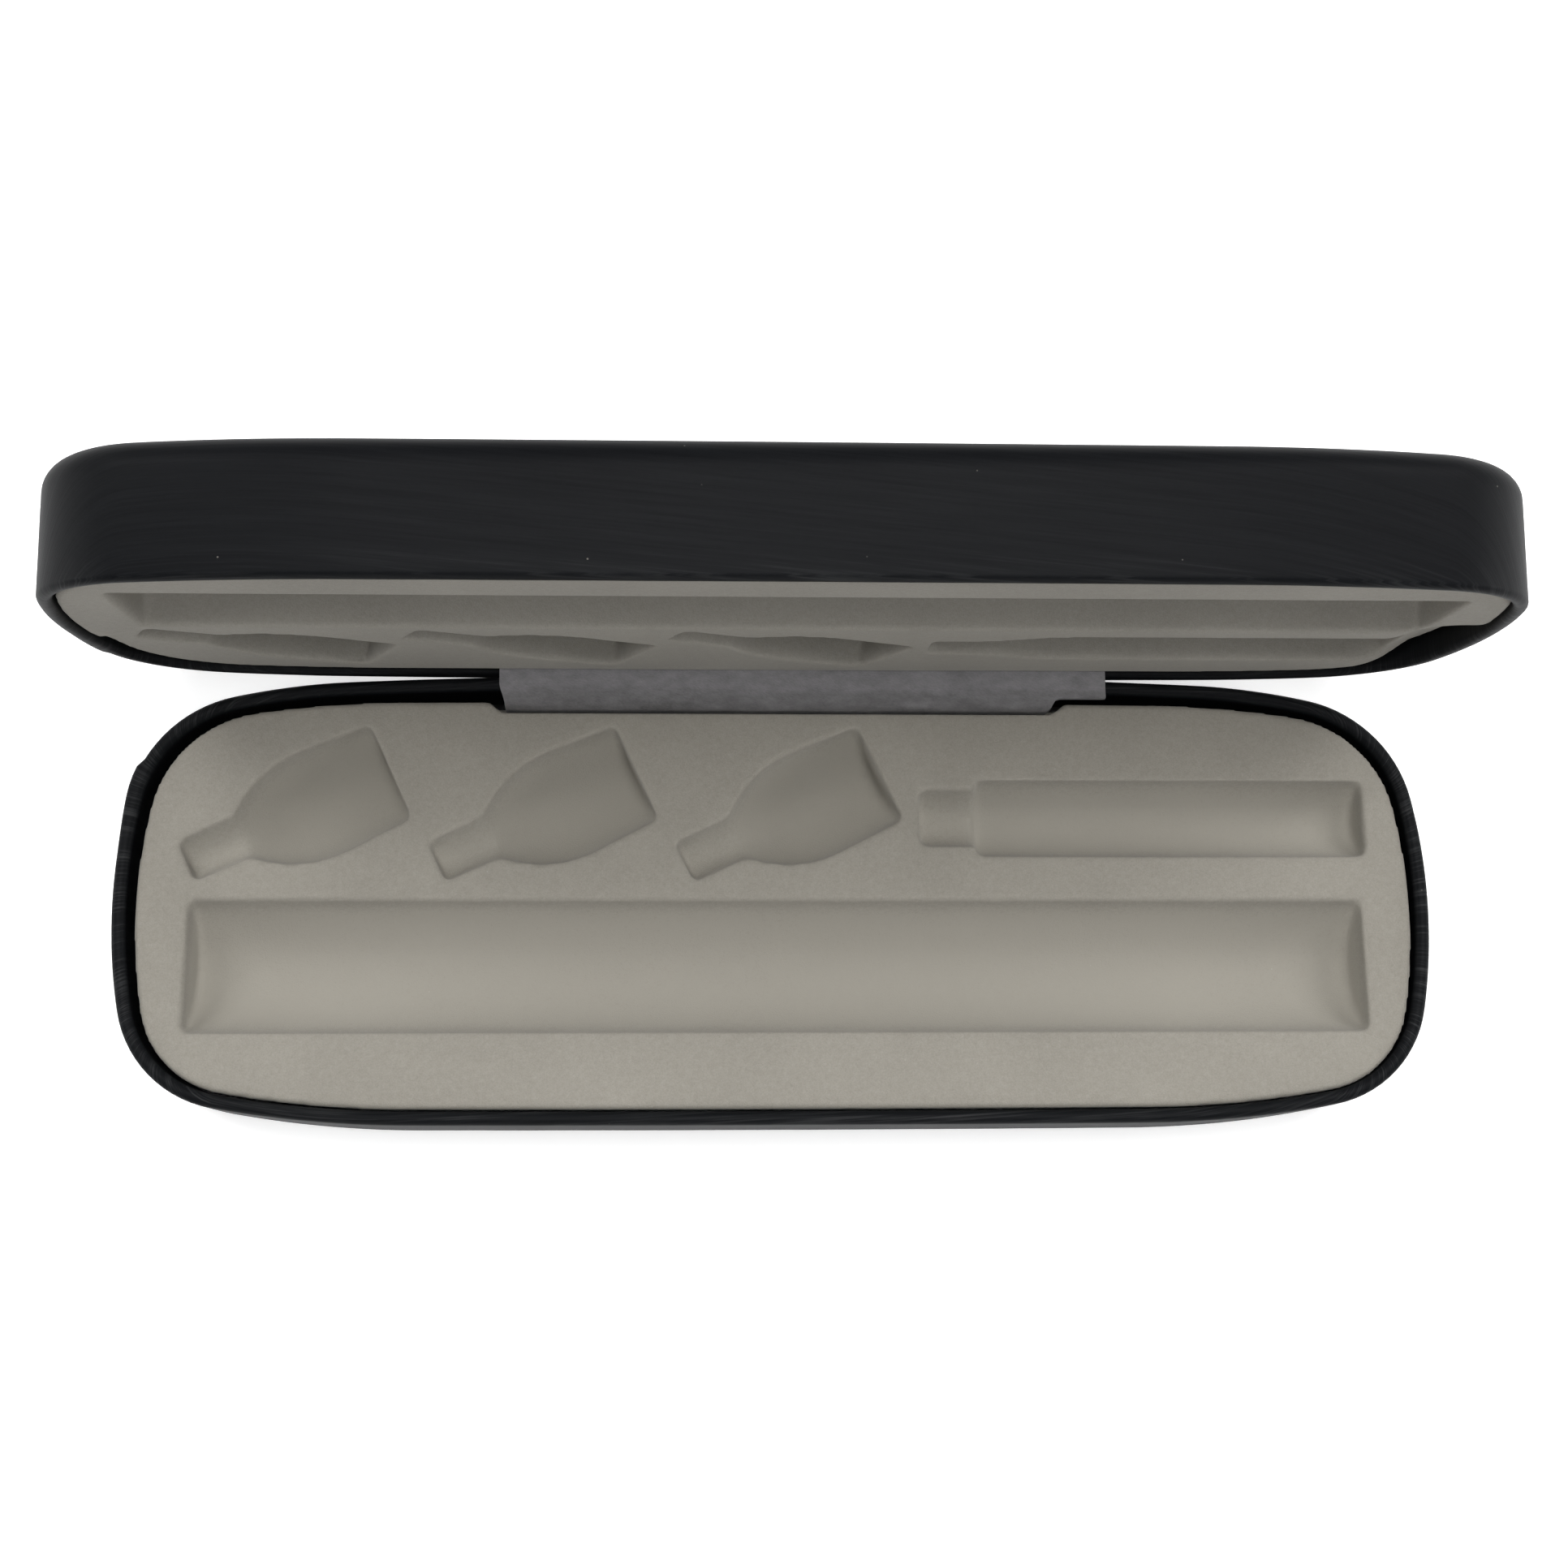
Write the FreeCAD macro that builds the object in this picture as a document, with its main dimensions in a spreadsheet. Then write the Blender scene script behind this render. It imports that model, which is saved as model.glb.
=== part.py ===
import FreeCAD, Part
import math
import os
import Sketcher

# Injection pen case: a hard clamshell of two pressed steel shells under black leathercloth.
# Each half holds a flocked tray with a pen trough, three pen-needle recesses and a
# cartridge recess. A knuckled steel hinge under a strip of grey fabric joins the halves.
#
# Frame: +X to the right, +Y to the hinge, +Z up, millimetres. The origin is the middle of
# the base's underside, which rests on the table. The lid stands open, as it is stored.

doc = FreeCAD.newDocument("InjectionPenCase")

# Driving dimensions with their aliases in the sheet, in millimetres and degrees.
DIMENSIONS = (
    ("half_length", 95.45), ("half_width", 33.05), ("end_radius", 80.6),
    ("side_radius", 1400), ("blend_radius", 98), ("blend_reach", 58.2), ("corner_radius", 18.8),
    ("front_side_radius", 10000), ("front_blend_radius", 157), ("front_blend_reach", 51.7),
    ("front_corner_radius", 17.5),
    ("rim_height", 17.8), ("bottom_radius", 3.9), ("leather", 0.75),
    ("steel", 0.5), ("flap_depth", 9), ("closed_gap", 0.35), ("axis_y", 30.84),
    ("axis_drop", 1.385), ("open_angle", 84.7), ("notch_half_length", 40.5), ("notch_depth", 3.2),
    ("tray_half_length", 92.5), ("tray_half_width", 29.9), ("tray_end_radius", 76),
    ("tray_side_radius", 4400), ("tray_blend_radius", 148), ("tray_blend_reach", 54.5),
    ("tray_corner_radius", 17.2), ("tray_front_side_radius", 10000),
    ("tray_front_blend_radius", 152), ("tray_front_blend_reach", 52.3),
    ("tray_front_corner_radius", 14.6), ("tray_shift_x", 0.3), ("tray_shift_y", -0.9),
    ("tray_drop", 0.8), ("tray_sheet", 0.8), ("tray_taper", 7),
    ("tray_notch_y", 27), ("tray_notch_left", 42.85), ("tray_notch_right", 43.3),
    ("tray_notch_slope", 2.4), ("tray_notch_drop", 3.2),
    ("trough_x", 0.4), ("trough_y", -10.44), ("trough_length", 170), ("trough_width", 19.1),
    ("trough_depth", 8), ("cartridge_x", 86.7), ("cartridge_y", 11.35), ("cartridge_length", 57.5),
    ("cartridge_radius", 5.65), ("cartridge_neck", 8.3), ("cartridge_neck_radius", 4.2),
    ("needle_x", -85.36), ("needle_y", 4.76), ("needle_pitch", 35.9), ("needle_angle", 25),
    ("needle_length", 31.7), ("needle_neck", 8.6), ("needle_neck_radius", 3.2),
    ("needle_belly", 20.5), ("needle_belly_radius", 8.2), ("needle_mouth_radius", 7.7),
    ("needle_shoulder_arc", 16.6), ("mouth_rounding", 0.6),
    ("leaf_sheet", 0.6), ("leaf_face_y", 31.25), ("leaf_foot", 4.5), ("leaf_bend_low", 13.3),
    ("leaf_bend_high", 15.1), ("barrel_radius", 1.25), ("bore_radius", 0.65), ("pin_radius", 0.6),
    ("pin_head_radius", 1), ("pin_head", 0.5), ("leaf_half_length", 38),
    ("knuckle_end", 24), ("knuckle_middle", 6), ("knuckle_lid_inner", 14), ("knuckle_play", 0.15),
    ("rivet_radius", 0.75), ("rivet_head_radius", 1.5), ("rivet_head", 0.55), ("rivet_height", 8.5),
    ("rivet_inner", 10), ("rivet_outer", 30), ("spring_wire", 0.2), ("spring_radius", 0.98),
    ("spring_turns", 8), ("spring_lid_angle", 60), ("spring_base_angle", 160),
    ("spring_lid_leg", 1), ("spring_base_leg", 2.2),
    ("lining_left", 41), ("lining_right", 49), ("lining_sheet", 0.4), ("spine_half_length", 40.3),
    ("lining_foot_half_length", 40.2), ("lining_foot_y", 27.6), ("lining_foot_z", 14.3),
    ("lining_bend", 1.73), ("lining_top", 17.98), ("lining_end_y", 38.1),
    ("spine_sheet", 0.7), ("spine_fold", 1), ("spine_tuck", 0.55), ("spine_start_y", 32.7),
    ("spine_end_y", 35.85), ("spine_end_z", 15.05),
)

sheet = doc.addObject("Spreadsheet::Sheet", "Dims")
for row, (alias, value) in enumerate(DIMENSIONS, start=1):
    sheet.set(f"A{row}", alias)
    sheet.set(f"B{row}", str(value))
    sheet.setAlias(f"B{row}", alias)
doc.recompute()


class Size:
    """A length or angle with the sheet formula that it comes from."""

    def __init__(self, value, formula):
        self.value = value
        self.formula = formula

    def __add__(self, other):
        return Size(self.value + as_size(other).value, f"({self.formula} + {as_size(other).formula})")

    def __sub__(self, other):
        return Size(self.value - as_size(other).value, f"({self.formula} - {as_size(other).formula})")

    def __rsub__(self, other):
        return as_size(other) - self

    def __mul__(self, factor):
        return Size(self.value * factor, f"({self.formula} * {factor})")

    def __neg__(self):
        return self * -1


def as_size(value):
    return value if isinstance(value, Size) else Size(float(value), f"{float(value)}")


def dim(alias):
    """The named cell of the sheet."""
    return Size(float(sheet.get(alias)), f"Dims.{alias}")


ZERO = as_size(0)
RIM = dim("rim_height")
WALL = dim("leather") * 2 + dim("steel")
TRAY_TOP = RIM - dim("tray_drop")


def bind(thing, prop, size):
    """Set a property and tie it to the sheet."""
    setattr(thing, prop, size.value)
    thing.setExpression(prop, size.formula)


def new_body(label):
    body = doc.addObject("PartDesign::Body", label)
    body.Label = label
    return body


def plane_of(body, role):
    return next(item for item in body.Origin.OriginFeatures if item.Role == role)


def new_sketch(body, name, role="XY_Plane", offset=ZERO, shift=(ZERO, ZERO), turn=None):
    """A sketch on one of the body's own planes, moved along the plane's normal by offset."""
    sketch = body.newObject("Sketcher::SketchObject", f"{body.Label}_{name}")
    sketch.AttachmentSupport = (plane_of(body, role), [""])
    sketch.MapMode = "FlatFace"
    angle = turn.value if turn else 0
    place = FreeCAD.Vector(shift[0].value, shift[1].value, offset.value)
    sketch.AttachmentOffset = FreeCAD.Placement(place, FreeCAD.Rotation(FreeCAD.Vector(0, 0, 1), angle))
    for letter, size in zip("xyz", (shift[0], shift[1], offset)):
        sketch.setExpression(f"AttachmentOffset.Base.{letter}", size.formula)
    if turn:
        sketch.setExpression("AttachmentOffset.Rotation.Angle", turn.formula)
    return sketch


def constrain(sketch, kind, *parts):
    """Add a constraint; a Size at the end is tied to the sheet."""
    if isinstance(parts[-1], Size):
        number = sketch.addConstraint(Sketcher.Constraint(kind, *parts[:-1], parts[-1].value))
        sketch.setExpression(f"Constraints[{number}]", parts[-1].formula)
    else:
        sketch.addConstraint(Sketcher.Constraint(kind, *parts))


def blend_place(half_width, side, blend, reach):
    """Centre height of the arc that eases a side arc into a corner, and the angle at which it
    leaves the side; reach is its centre's distance from the middle."""
    rise = math.sqrt((side - blend) ** 2 - reach ** 2)
    return half_width - side + rise, math.atan2(rise, reach)


def corner_place(end_x, end, blend_x, blend_y, blend, corner):
    """Centre of the corner arc between an end arc and a blend arc, and the angles at which it
    meets them, for the quarter at +X +Y."""
    reach_end, reach_blend = end - corner, blend - corner
    step_x, step_y = end_x - blend_x, -blend_y
    span = math.hypot(step_x, step_y)
    along = (reach_blend ** 2 - reach_end ** 2 + span ** 2) / (2 * span)
    off = math.sqrt(reach_blend ** 2 - along ** 2)
    x = blend_x + (step_x * along + step_y * off) / span
    y = blend_y + (step_y * along - step_x * off) / span
    return x, y, math.atan2(y, x - end_x), math.atan2(y - blend_y, x - blend_x)


def draw_outline(sketch, half_length, half_width, inset, end_radius, upper, lower):
    """A plan of two long flat arcs, two end arcs, four corner arcs and four blends between the
    flat arcs and the corners, all tangent. upper and lower hold the radii of side, blend and
    corner and the reach of the blend, at +Y and at -Y."""
    a, b, end = half_length.value, half_width.value, end_radius.value
    half = math.pi

    def add_arc(x, y, radius, start, stop):
        circle = Part.Circle(FreeCAD.Vector(x, y, 0), FreeCAD.Vector(0, 0, 1), radius.value - inset.value)
        return sketch.addGeometry(Part.ArcOfCircle(circle, start, stop), False)

    places = []
    for side, blend, corner, reach in (upper, lower):
        blend_y, turn_side = blend_place(b, side.value, blend.value, reach.value)
        x, y, turn_end, turn_blend = corner_place(a - end, end, reach.value, blend_y, blend.value, corner.value)
        places.append((blend_y, x, y, turn_end, turn_blend, turn_side))
    up_y, x, y, turn_end, turn_blend, turn_side = places[0]
    low_y, low_x, low_corner_y, low_end, low_blend, low_side = places[1]
    side, blend, corner, reach = upper
    low, low_ease, low_corner, low_reach = lower
    arcs = [
        add_arc(a - end, 0, end_radius, -low_end, turn_end),
        add_arc(x, y, corner, turn_end, turn_blend),
        add_arc(reach.value, up_y, blend, turn_blend, turn_side),
        add_arc(0, b - side.value, side, turn_side, half - turn_side),
        add_arc(-reach.value, up_y, blend, half - turn_side, half - turn_blend),
        add_arc(-x, y, corner, half - turn_blend, half - turn_end),
        add_arc(end - a, 0, end_radius, half - turn_end, half + low_end),
        add_arc(-low_x, -low_corner_y, low_corner, half + low_end, half + low_blend),
        add_arc(-low_reach.value, -low_y, low_ease, half + low_blend, half + low_side),
        add_arc(0, low.value - b, low, half + low_side, 2 * half - low_side),
        add_arc(low_reach.value, -low_y, low_ease, 2 * half - low_side, 2 * half - low_blend),
        add_arc(low_x, -low_corner_y, low_corner, 2 * half - low_blend, 2 * half - low_end),
    ]
    for here, after in zip(arcs, arcs[1:] + arcs[:1]):
        constrain(sketch, "Tangent", here, 2, after, 1)
    radii = (end_radius, corner, blend, side, blend, corner,
             end_radius, low_corner, low_ease, low, low_ease, low_corner)
    for number, radius in zip(arcs, radii):
        constrain(sketch, "Radius", number, radius - inset)
    for number, sign in ((arcs[0], 1), (arcs[6], -1)):
        constrain(sketch, "DistanceX", -1, 1, number, 3, (half_length - end_radius) * sign)
        constrain(sketch, "PointOnObject", number, 3, -1)
    for number, radius, sign in ((arcs[3], side, 1), (arcs[9], low, -1)):
        constrain(sketch, "DistanceY", -1, 1, number, 3, (half_width - radius) * sign)
        constrain(sketch, "PointOnObject", number, 3, -2)
    for number, distance in ((arcs[2], reach), (arcs[4], reach * -1),
                             (arcs[8], low_reach * -1), (arcs[10], low_reach)):
        constrain(sketch, "DistanceX", -1, 1, number, 3, distance)


def plan_radii(prefix):
    """Radii of side, blend and corner, and the blend's reach."""
    return tuple(dim(prefix + name) for name in ("side_radius", "blend_radius", "corner_radius", "blend_reach"))


def case_outline(sketch, side, inset):
    """The case's own plan; side is 1 for the base and -1 for the lid, whose hinge is at -Y."""
    rear, front = plan_radii(""), plan_radii("front_")
    upper, lower = (rear, front) if side > 0 else (front, rear)
    draw_outline(sketch, dim("half_length"), dim("half_width"), inset, dim("end_radius"), upper, lower)


def draw_profile(sketch, corners):
    """A closed profile. Each corner is (x, y) or (x, y, radius, side), where the edge that
    leaves the corner is an arc of that radius with its centre on the left (1) or right (-1)."""
    numbers = []
    for corner, after in zip(corners, corners[1:] + corners[:1]):
        start = FreeCAD.Vector(corner[0].value, corner[1].value, 0)
        stop = FreeCAD.Vector(after[0].value, after[1].value, 0)
        if len(corner) == 2:
            numbers.append((sketch.addGeometry(Part.LineSegment(start, stop), False), 1, 2))
            continue
        chord = stop - start
        radius = corner[2].value
        height = math.sqrt(max(0, radius ** 2 - chord.Length ** 2 / 4))
        left = FreeCAD.Vector(-chord.y, chord.x, 0).normalize()
        centre = (start + stop) * 0.5 + left * height * corner[3]
        angles = [math.atan2(point.y - centre.y, point.x - centre.x) for point in (start, stop)]
        ends = (1, 2)
        if corner[3] < 0:
            angles.reverse()
            ends = (2, 1)
        circle = Part.Circle(centre, FreeCAD.Vector(0, 0, 1), radius)
        number = sketch.addGeometry(Part.ArcOfCircle(circle, angles[0], angles[1]), False)
        numbers.append((number, ends[0], ends[1]))
    for here, after in zip(numbers, numbers[1:] + numbers[:1]):
        constrain(sketch, "Coincident", here[0], here[2], after[0], after[1])
    for (number, first, _), corner in zip(numbers, corners):
        constrain(sketch, "DistanceX", -1, 1, number, first, corner[0])
        constrain(sketch, "DistanceY", -1, 1, number, first, corner[1])
        if len(corner) > 2:
            constrain(sketch, "Radius", number, corner[2])


def draw_rectangle(sketch, left, right, low, high):
    draw_profile(sketch, [(left, low), (right, low), (right, high), (left, high)])


def draw_circle(sketch, x, y, radius):
    centre = FreeCAD.Vector(x.value, y.value, 0)
    number = sketch.addGeometry(Part.Circle(centre, FreeCAD.Vector(0, 0, 1), radius.value), False)
    constrain(sketch, "Radius", number, radius)
    constrain(sketch, "DistanceX", -1, 1, number, 3, x)
    constrain(sketch, "DistanceY", -1, 1, number, 3, y)


def pad(body, sketch, length, down=False, middle=False, taper=None):
    feature = body.newObject("PartDesign::Pad", f"{sketch.Label}_pad")
    feature.Profile = sketch
    bind(feature, "Length", length)
    feature.Reversed = down
    feature.Midplane = middle
    if taper:
        bind(feature, "TaperAngle", taper)
    doc.recompute()
    return feature


def pocket(body, sketch, length, up=False, middle=False, taper=None):
    """Cut along the plane's normal, down unless up is set; the volume must go down."""
    before = body.Shape.Volume
    feature = body.newObject("PartDesign::Pocket", f"{sketch.Label}_pocket")
    feature.Profile = sketch
    bind(feature, "Length", length)
    feature.Reversed = up
    feature.Midplane = middle
    if taper:
        bind(feature, "TaperAngle", taper)
    doc.recompute()
    assert body.Shape.Volume < before - 1e-6, f"{sketch.Label} cuts nothing"
    return feature


def turned(body, sketch, kind):
    """A full turn of a half profile about the sketch's own X axis, added or cut."""
    feature = body.newObject(f"PartDesign::{kind}", f"{sketch.Label}_turn")
    feature.Profile = sketch
    feature.ReferenceAxis = (sketch, ["H_Axis"])
    feature.Angle = 360
    doc.recompute()
    return feature


def fillet(body, name, radius, chosen):
    """Round the edges of the body's tip for which chosen(edge) holds."""
    base = body.Tip
    names = [f"Edge{number}" for number, edge in enumerate(base.Shape.Edges, start=1) if chosen(edge)]
    assert names, f"{name} finds no edge"
    feature = body.newObject("PartDesign::Fillet", f"{body.Label}_{name}")
    feature.Base = (base, names)
    bind(feature, "Radius", radius)
    doc.recompute()
    return feature


def at_height(size):
    return lambda edge: abs(edge.BoundBox.ZMin - size.value) < 0.01 and edge.BoundBox.ZLength < 0.01


def hinge_slot(body, name, side, inner, offset, depth):
    """Cut the wall back between the hinge's ends; side is 1 for the base and -1 for the lid."""
    sketch = new_sketch(body, name, offset=offset)
    reach = dim("notch_half_length")
    outer = dim("half_width") + 5
    near, far = (inner, outer) if side > 0 else (-outer, -inner)
    draw_rectangle(sketch, -reach, reach, near, far)
    pocket(body, sketch, depth)


def cover(label, side):
    """Leathercloth: the outside skin, the rounded rim and the flap turned in over the steel."""
    body = new_body(label)
    leather, steel = dim("leather"), dim("steel")
    sketch = new_sketch(body, "outside")
    case_outline(sketch, side, ZERO)
    pad(body, sketch, RIM)
    sketch = new_sketch(body, "mouth", offset=RIM)
    case_outline(sketch, side, WALL)
    pocket(body, sketch, dim("flap_depth"))
    sketch = new_sketch(body, "room", offset=RIM - dim("flap_depth"))
    case_outline(sketch, side, leather)
    pocket(body, sketch, RIM - dim("flap_depth") - leather)
    sketch = new_sketch(body, "steel_slot", offset=RIM - leather)
    case_outline(sketch, side, leather)
    case_outline(sketch, side, leather + steel)
    pocket(body, sketch, dim("flap_depth") - leather)
    fillet(body, "bottom_edge", dim("bottom_radius"), at_height(ZERO))
    fillet(body, "floor_edge", dim("bottom_radius") - leather, at_height(leather))
    fillet(body, "rim_edges", WALL * 0.47, at_height(RIM))
    hinge_slot(body, "hinge_notch", side, dim("half_width") - 8, RIM, dim("notch_depth"))
    flap_relief(body, side)
    return body


def flap_relief(body, side):
    """No flap behind the hinge leaf, which lies straight on the steel."""
    sketch = new_sketch(body, "flap_relief", offset=RIM)
    reach = dim("notch_half_length")
    inset = dim("leather") + dim("steel")
    radius = dim("side_radius") - inset
    drop = radius.value - math.sqrt(radius.value ** 2 - reach.value ** 2)
    edge = dim("half_width") - inset - drop
    back = dim("half_width") - 5
    if side > 0:
        corners = [(-reach, back), (reach, back), (reach, edge, radius, 1), (-reach, edge)]
    else:
        corners = [(reach, -back), (-reach, -back), (-reach, -edge, radius, 1), (reach, -edge)]
    draw_profile(sketch, corners)
    pocket(body, sketch, dim("flap_depth"))


def shell(label, side):
    """Pressed steel tray inside the leathercloth, cut back at the hinge and drilled for rivets."""
    body = new_body(label)
    leather, steel = dim("leather"), dim("steel")
    sketch = new_sketch(body, "outside", offset=leather)
    case_outline(sketch, side, leather)
    pad(body, sketch, RIM - leather * 2)
    fillet(body, "bottom_edge", dim("bottom_radius") - leather, at_height(leather))
    block = body.Tip
    top = max(range(len(block.Shape.Faces)), key=lambda number: block.Shape.Faces[number].CenterOfMass.z)
    wall = body.newObject("PartDesign::Thickness", f"{label}_wall")
    wall.Base = (block, [f"Face{top + 1}"])
    bind(wall, "Value", steel)
    wall.Reversed = True
    doc.recompute()
    hinge_slot(body, "hinge_notch", side, dim("half_width") - 8, RIM, dim("notch_depth"))
    sketch = new_sketch(body, "rivet_holes", role="XZ_Plane")
    for x in rivet_places():
        draw_circle(sketch, x, dim("rivet_height"), dim("rivet_radius"))
    pocket(body, sketch, dim("half_width") + 5, up=side < 0)
    return body


def rivet_places():
    inner, outer = dim("rivet_inner"), dim("rivet_outer")
    return (-outer, -inner, inner, outer)


def tray_outline(sketch, side, inset):
    rear, front = plan_radii("tray_"), plan_radii("tray_front_")
    upper, lower = (rear, front) if side > 0 else (front, rear)
    draw_outline(sketch, dim("tray_half_length"), dim("tray_half_width"), inset,
                 dim("tray_end_radius"), upper, lower)


def tray(label, side, notched):
    """Flocked vacuum-formed tray: a flat top with a skirt down to the steel floor, and the
    recesses sunk in it with walls one sheet thick."""
    body = new_body(label)
    gauge = dim("tray_sheet")
    centre = (dim("tray_shift_x"), dim("tray_shift_y") * side)
    floor = dim("leather") + dim("steel")
    sketch = new_sketch(body, "block", offset=TRAY_TOP, shift=centre)
    tray_outline(sketch, side, ZERO)
    pad(body, sketch, TRAY_TOP - floor, down=True, taper=-dim("tray_taper"))
    sketch = new_sketch(body, "hollow", offset=TRAY_TOP - gauge, shift=centre)
    tray_outline(sketch, side, gauge + 0.1)
    pocket(body, sketch, TRAY_TOP - gauge - floor, taper=-dim("tray_taper"))
    for name, kind, extra in (("outer", "Revolution", gauge), ("inner", "Groove", ZERO)):
        if kind == "Groove":
            trim_top(body)
        trough(body, name, kind, side, extra)
        cartridge_recess(body, name, kind, side, extra)
        for number in range(3):
            needle_recess(body, f"{name}_{number + 1}", kind, side, extra, number)
    if notched:
        tray_notch(body)
    fillet(body, "mouth_edges", dim("mouth_rounding"), in_recess)
    return body


def in_recess(edge):
    """True for a mouth edge of a recess, false for the tray's own outline and its hinge step."""
    box = edge.BoundBox
    wide = max(abs(box.XMin), abs(box.XMax)) > dim("tray_half_length").value - 3
    deep = max(abs(box.YMin), abs(box.YMax)) > dim("tray_half_width").value - 4
    return at_height(TRAY_TOP)(edge) and not wide and not deep


def trim_top(body):
    """Everything above the tray's flat top goes."""
    sketch = new_sketch(body, "above_top", offset=TRAY_TOP)
    reach = dim("half_length")
    draw_rectangle(sketch, -reach, reach, -reach, reach)
    pocket(body, sketch, dim("trough_width"), up=True)


def trough(body, name, kind, side, extra):
    """The pen's half-round channel."""
    sketch = new_sketch(body, f"trough_{name}", role="YZ_Plane", offset=dim("trough_x"))
    half = dim("trough_width") * 0.5 + extra
    depth = dim("trough_depth") + extra
    middle = dim("trough_y") * side
    radius = Size((half.value ** 2 + depth.value ** 2) / (2 * depth.value),
                  f"(({half.formula})^2 + ({depth.formula})^2) / (2 * {depth.formula})")
    corners = [(middle + half, TRAY_TOP), (middle - half, TRAY_TOP, radius, 1),
               (middle, TRAY_TOP - depth, radius, 1)]
    draw_profile(sketch, corners)
    length = dim("trough_length") + extra * 2
    if kind == "Groove":
        pocket(body, sketch, length, middle=True)
    else:
        pad(body, sketch, length, middle=True)


def cartridge_recess(body, name, kind, side, extra):
    """Half a cartridge: barrel and neck, lying on the tray's top plane."""
    place = (dim("cartridge_x"), dim("cartridge_y") * side)
    sketch = new_sketch(body, f"cartridge_{name}", offset=TRAY_TOP, shift=place)
    barrel, neck = dim("cartridge_radius") + extra, dim("cartridge_neck_radius") + extra
    shoulder = -dim("cartridge_length") - extra
    tip = shoulder - dim("cartridge_neck")
    corners = [(tip, ZERO), (extra, ZERO), (extra, barrel), (shoulder, barrel),
               (shoulder, neck), (tip, neck)]
    draw_profile(sketch, corners)
    turned(body, sketch, kind)


def needle_recess(body, name, kind, side, extra, number):
    """Half a pen-needle's outer cap: a neck, a rounded shoulder and a slightly tapered mouth."""
    place = (dim("needle_x") + dim("needle_pitch") * number, dim("needle_y") * side)
    sketch = new_sketch(body, f"needle_{name}", offset=TRAY_TOP, shift=place,
                        turn=dim("needle_angle") * side)
    neck, belly = dim("needle_neck_radius") + extra, dim("needle_belly_radius") + extra
    mouth = dim("needle_mouth_radius") + extra
    corners = [(-extra, ZERO), (dim("needle_length") + extra, ZERO),
               (dim("needle_length") + extra, mouth),
               (dim("needle_belly"), belly, dim("needle_shoulder_arc") + extra, 1),
               (dim("needle_neck"), neck), (-extra, neck)]
    draw_profile(sketch, corners)
    turned(body, sketch, kind)


def tray_notch(body):
    """The base tray steps back from the hinge, with a slope at each end of the step."""
    sketch = new_sketch(body, "hinge_step", offset=TRAY_TOP)
    left, right, slope = dim("tray_notch_left"), dim("tray_notch_right"), dim("tray_notch_slope")
    near, far = dim("tray_notch_y"), dim("tray_half_width") + 4
    edge = dim("tray_half_width") + dim("tray_shift_y")
    corners = [(slope - left, near), (right - slope, near), (right, edge), (right, far),
               (-left, far), (-left, edge)]
    draw_profile(sketch, corners)
    pocket(body, sketch, dim("tray_notch_drop"))


def hinge_leaf(label, side, knuckles, gaps, axis_height):
    """Steel leaf on the inside of the rear wall, joggled forward and rolled into knuckles.
    knuckles and gaps are (left, right) spans along the hinge."""
    body = new_body(label)
    back = dim("leaf_face_y")
    gauge, barrel = dim("leaf_sheet"), dim("barrel_radius")
    front = dim("axis_y") - barrel
    corners = [(back * side, dim("leaf_foot")), (back * side, dim("leaf_bend_low") + 0.2),
               ((front + gauge) * side, dim("leaf_bend_high") + 0.2),
               ((front + gauge) * side, axis_height), (front * side, axis_height),
               (front * side, dim("leaf_bend_high")), ((back - gauge) * side, dim("leaf_bend_low")),
               ((back - gauge) * side, dim("leaf_foot"))]
    sketch = new_sketch(body, "plate", role="YZ_Plane")
    draw_profile(sketch, corners if side > 0 else corners[::-1])
    pad(body, sketch, dim("leaf_half_length") * 2, middle=True)
    for number, (left, right) in enumerate(gaps, start=1):
        sketch = new_sketch(body, f"gap_{number}", role="YZ_Plane", offset=left)
        low = axis_height - barrel - dim("knuckle_play")
        reach = (dim("axis_y") + barrel) * side
        ends = (front * side - 0.5, reach + 0.5) if side > 0 else (reach - 0.5, front * side + 0.5)
        draw_rectangle(sketch, ends[0], ends[1], low, axis_height + barrel)
        pocket(body, sketch, right - left, up=True)
    for number, (left, right) in enumerate(knuckles, start=1):
        sketch = new_sketch(body, f"knuckle_{number}", role="YZ_Plane", offset=left)
        draw_circle(sketch, dim("axis_y") * side, axis_height, barrel)
        pad(body, sketch, right - left)
    sketch = new_sketch(body, "bore", role="YZ_Plane")
    draw_circle(sketch, dim("axis_y") * side, axis_height, dim("bore_radius"))
    pocket(body, sketch, dim("leaf_half_length") * 2 + 1, middle=True)
    sketch = new_sketch(body, "rivet_holes", role="XZ_Plane")
    for x in rivet_places():
        draw_circle(sketch, x, dim("rivet_height"), dim("rivet_radius"))
    pocket(body, sketch, dim("half_width") + 5, up=side < 0)
    return body


def axis_heights():
    """The hinge axis above the base's underside, and above the lid's own underside."""
    base_height = RIM - dim("axis_drop")
    lid_height = RIM * 2 + dim("closed_gap") - base_height
    return base_height, lid_height


def hinge_pin(label):
    body = new_body(label)
    height = axis_heights()[0]
    sketch = new_sketch(body, "shaft", role="YZ_Plane")
    draw_circle(sketch, dim("axis_y"), height, dim("pin_radius"))
    pad(body, sketch, dim("leaf_half_length") * 2, middle=True)
    for name, offset in (("head_right", dim("leaf_half_length")),
                         ("head_left", -dim("leaf_half_length") - dim("pin_head"))):
        sketch = new_sketch(body, name, role="YZ_Plane", offset=offset)
        draw_circle(sketch, dim("axis_y"), height, dim("pin_head_radius"))
        pad(body, sketch, dim("pin_head"))
    return body


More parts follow.
